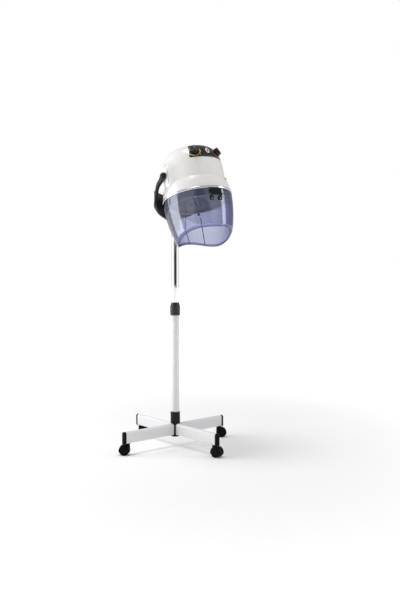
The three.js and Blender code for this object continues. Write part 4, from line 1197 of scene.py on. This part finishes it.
def sheet_from(name, points, faces):
    """A visor part: an outer skin thickened inwards, in a deeper tint along the rim and edges."""
    obj = mesh_object(name, points, faces, VISOR, closed=False)
    thick = obj.modifiers.new("wall", "SOLIDIFY")
    thick.thickness = VISOR_WALL * MM
    thick.offset = -1
    thick.material_offset_rim = 2
    for look in VISOR_LOOKS:
        obj.data.materials.append(look)
    for polygon in obj.data.polygons:
        corners = [points[k] for k in polygon.vertices]
        if all(z - rim_height(math.atan2(x, -y)) < LIP_HEIGHT + 0.5 for x, y, z in corners):
            polygon.material_index = 1
    settle(obj)
    return bevel(obj, 0.6, 2, 50)


def corner_cut(distance):
    """How far a rounded corner draws in, at a distance from the corner's other side."""
    left = max(DOOR_CORNER - distance, 0)
    return DOOR_CORNER - math.sqrt(DOOR_CORNER ** 2 - left ** 2)


def bead(name, run, body, radius=1.5):
    """A round bead along a run of visor points, in the edges' deeper tint."""
    loops = []
    for here, along in stations(run):
        out = Vector((here.x, here.y, 0)).normalized()
        out = (out - along * out.dot(along)).normalized()
        across = along.cross(out)
        loops.append([tuple(here + out * (radius * math.cos(k * math.pi / 4) - 0.6)
                            + across * radius * math.sin(k * math.pi / 4)) for k in range(8)])
    piece(lofted(name, loops, VISOR), body, "visor_tint", looks=[VISOR_EDGE])


def wall_rows(low, rim, rows):
    """Heights down a wall, with a row where the turned-in lip starts."""
    lip = rim + LIP_HEIGHT
    upper = [low + (lip - low) * k / rows for k in range(1, rows + 1)]
    return upper + [lip - LIP_HEIGHT * k / 6 for k in range(1, 7)]


def body_columns():
    """(angle, lower end of the upper band, whether the wall goes on below it) round the visor."""
    corner_steps = 7
    edge = door_edge(DOOR_TOP - DOOR_CORNER)
    across = edge - DOOR_CORNER / VISOR_TOP_RADIUS
    columns = [(across * i / 26, DOOR_TOP, False) for i in range(-25, 26)]
    for k in range(corner_steps + 1):
        bend = k / corner_steps * math.pi / 2
        inset = DOOR_CORNER * (1 - math.sin(bend))
        angle = edge - inset / VISOR_TOP_RADIUS
        low = DOOR_TOP - corner_cut(inset)
        columns += [(angle, low, k == corner_steps), (-angle, low, k == corner_steps)]
    back = 2 * (math.pi - edge)
    steps = 110
    columns += [(edge + back * i / steps, DOOR_TOP - DOOR_CORNER, True) for i in range(1, steps)]
    return sorted((math.fmod(a + 2 * math.pi, 2 * math.pi), low, on) for a, low, on in columns)


def add_visor_body():
    columns = body_columns()
    band_rows = 10
    edge = door_edge(DOOR_TOP - DOOR_CORNER)
    points, numbers = [], []
    for angle, low, goes_on in columns:
        line = []
        for k in range(band_rows + 1):
            line.append(len(points))
            points.append(visor_point(angle, VISOR_TOP + (low - VISOR_TOP) * k / band_rows))
        if goes_on:
            share = (angle - edge) / (2 * math.pi - 2 * edge)

            def angle_at(height):
                side = door_edge(height)
                return side + share * (2 * math.pi - 2 * side)

            for height in wall_rows(low, down_to_rim(angle_at), 28):
                line.append(len(points))
                points.append(visor_point(angle_at(height), height))
        numbers.append(line)
    faces = []
    count = len(columns)
    for i in range(count):
        here, after = numbers[i], numbers[(i + 1) % count]
        for k in range(min(len(here), len(after)) - 1):
            faces.append((here[k], here[k + 1], after[k + 1], after[k]))
    first = next(i for i, column in enumerate(columns) if column[2])
    last = max(i for i, column in enumerate(columns) if column[2])
    rim = [points[numbers[i][-1]] for i in range(first, last + 1)]
    bead("visor_shell_rim_bead", rim, "hood")
    body = sheet_from("visor_shell", points, faces)
    piece(body, "hood", "visor_tint", "visor_body", looks=VISOR_LOOKS)


def add_visor_door():
    columns, corner_rows, rows = 80, 8, 28
    top = DOOR_TOP - DOOR_GAP
    depths = [DOOR_CORNER * (1 - math.cos(k / corner_rows * math.pi / 2)) for k in range(corner_rows)]
    lines = []
    for j in range(columns + 1):
        share = 2 * j / columns - 1

        def angle_at(height):
            cut = corner_cut(max(top - height, 0)) / VISOR_TOP_RADIUS
            return share * (door_edge(height, DOOR_GAP) - cut)

        start = top - DOOR_CORNER
        heights = [top - depth for depth in depths] + [start]
        heights += wall_rows(start, down_to_rim(angle_at), rows)
        lines.append([visor_point(angle_at(height), height) for height in heights])
    count = len(lines[0])
    points = [point for line in lines for point in line]
    faces = []
    for j in range(columns):
        for k in range(count - 1):
            a = j * count + k
            faces.append((a, a + 1, a + 1 + count, a + count))
    outline = lines[0][::-1] + [line[0] for line in lines[1:-1]] + lines[-1]
    bead("visor_flap_edge_bead", outline, "visor_door", 1.3)
    bead("visor_flap_rim_bead", [line[-1] for line in lines], "visor_door")
    door = sheet_from("visor_flap", points, faces)
    piece(door, "visor_door", "visor_tint", "visor_door", looks=VISOR_LOOKS)


def add_rear_ribs():
    """Thin stiffening ribs down the inside of the visor's back."""
    half, steps = 1.8 / 140, 24
    for name, place in REAR_RIBS.items():
        angle = place * DEG
        low, high = rim_height(angle) + 1.5, DRUM_BOTTOM - 16
        loops = []
        for k in range(steps + 1):
            height = low + (high - low) * k / steps
            depth = 2.4 if 0 < k < steps else 0.4
            loops.append([visor_point(angle + turn, height, -VISOR_WALL - inward) for turn, inward in (
                (-half, 0.02), (half, 0.02), (half * 0.6, depth), (-half * 0.6, depth))])
        piece(lofted(f"visor_rib_{name}", loops, VISOR), "hood", "visor_tint", looks=[VISOR_EDGE])


def add_side_clips():
    """Small grey clips that hold the visor up at its sides, with a screw in each."""
    for side_name, side in SIDES.items():
        for tag, round_from_front in (("front", 84), ("rear", 150)):
            angle = side * round_from_front * DEG
            out = Vector((math.sin(angle), -math.cos(angle), 0))
            across = Vector((math.cos(angle), math.sin(angle), 0))
            origin = Vector(visor_point(angle, -22)) * MM
            place = VISOR @ basis(across, out.cross(across), out, origin)
            clip = prism(f"visor_clip_{tag}_{side_name}", rounded_box(5, 13, 4, 6), -0.4, 2.6, place)
            piece(bevel(clip, 1.1, 4), "hood", "grey_plastic")
            add_screw(f"visor_clip_screw_{tag}_{side_name}", place, 0, 2, 2.6, "hood")


def add_screw(name, place, x, y, z, body, radius=2.6):
    """A pan-head screw with a cross slot, standing on z of a frame."""
    spot = place @ moved(x, y, z)
    head = solid(name, [(0, -0.6, 0), (radius, -0.6, 0), (radius, 0.5, 0.3), (radius * 0.55, 1.25, 1.2),
                        (0, 1.3, 0)], spot, 32)
    slot = rounded_box(radius * 0.62, 0.32, 0.1, 2)
    boolean(head, [prism("slot", slot, 0.5, 2.5, spot @ Matrix.Rotation(turn * DEG, 4, "Z"))
                   for turn in (20, 110)], "DIFFERENCE")
    piece(head, body, "zinc_steel")


def front_plane():
    """Frame on the visor's front: +X right, +Y up the hood's axis, +Z out of the front."""
    return VISOR @ basis((1, 0, 0), (0, 0, 1), (0, -1, 0))


def add_hinge():
    place = front_plane()
    side_on = place @ basis((0, 0, 1), (0, 1, 0), (1, 0, 0))
    face = VISOR_TOP_RADIUS + GAP
    pin_out, pin_up = 165, -36
    axis = place @ moved(0, pin_up, pin_out) @ ALONG_X
    half = HINGE_HALF - 14

    def knuckle(low, high):
        return sleeve("knuckle", 2.3, 4.6, low, high, (0.3, 0.8), axis, 40)

    bracket = prism("hinge_block", rounded_box(HINGE_HALF, 11.5, 3.5, y=-20.5), face, face + 3, place)
    bevel(bracket, 0.9, 3)
    block = prism("block", rounded_box(27, 11, 5, y=-19.5), face + 2, face + 9, place)
    web = prism("web", rounded([(face, pin_up + 2, 0.5), (pin_out - 1, pin_up + 2, 1), (face + 7, -26, 1),
                                (face, -26, 0.5)]), 0.6 - half, half - 0.6, side_on)
    join(bracket, [bevel(block, 2.0, 4), knuckle(-half, half), web])
    piece(bracket, "hood", "black_moulding", "hinge_bracket")
    pin = solid("hinge_rod", [(0, -HINGE_HALF, 0), (2, -HINGE_HALF, 0.5), (2, HINGE_HALF, 0.5),
                              (0, HINGE_HALF, 0)], axis, 24, 3)
    piece(pin, "hood", "zinc_steel", "hinge_pin")
    parts = []
    pad_face, arm_face = visor_radius(-52), visor_radius(-44)
    for side in (-1, 1):
        middle = side * (HINGE_HALF - 6.5)
        pad = prism("hinge_flap_leaf", rounded_box(9.5, 8, 3, x=side * 21, y=-52), pad_face - 3.5,
                    pad_face + 2.6, place)
        arm = prism("arm", rounded([(arm_face - 0.5, -48, 0.6), (arm_face + 3, -48, 1),
                                    (pin_out + 1.5, pin_up - 1, 2), (pin_out - 3, pin_up - 1, 0.6)]),
                    middle - 5.6, middle + 5.6, side_on)
        parts += [bevel(pad, 0.9, 3), knuckle(middle - 5.8, middle + 5.8), arm]
    leaf = join(parts[0], parts[1:])
    leaf.name = "hinge_flap_leaf"
    piece(leaf, "visor_door", "black_moulding", "hinge_leaf")
    for name, x in (("left", -21), ("right", 21)):
        add_screw(f"hinge_leaf_screw_{name}", place, x, -53, pad_face + 2.6, "visor_door", 3.0)


# ---- carried CAD nodes
CARRIED = {
    "axle_steel": [f"caster_axle_{name}" for name in CASTERS],
    "zinc_steel": ["hub_bolt", "pivot_bolt_right", "pivot_bolt_left", "motor_bracket", "fan_motor"],
    "black_moulding": ["lock_collet"],
    "grey_plastic": ["swivel_bush", "timer_unit", "heat_switch"],
    "fan_alloy": ["fan_rotor"],
    "mica": ["heater_element"],
}


def dress_carried():
    for slot, names in CARRIED.items():
        for name in names:
            node = frame["nodes"][name]
            node.data.materials.clear()
            node.data.materials.append(LOOKS[slot])
            shade(node, 30)


# ---- whole object
for leg_name in CASTERS:
    add_leg(leg_name)
add_hub()
add_casters()
add_tube("column_lower_tube", LOWER_RADIUS, "lower_tube", "stand", "white_paint")
add_tube("column_upper_tube", UPPER_RADIUS, "upper_tube", "column", "chrome")
add_lock_nut()
add_yoke()
add_pivots()
add_shell()
add_ring()
add_gland()
add_panel()
add_dials()
add_knob("timer_dial", "timer_knob", "timer_knob", -KNOB_ANGLE)
add_knob("heat_dial", "heat_knob", "heat_knob", KNOB_ANGLE)
add_switch()
add_drum()
add_dish()
add_visor_body()
add_visor_door()
add_rear_ribs()
add_side_clips()
add_hinge()
dress_carried()
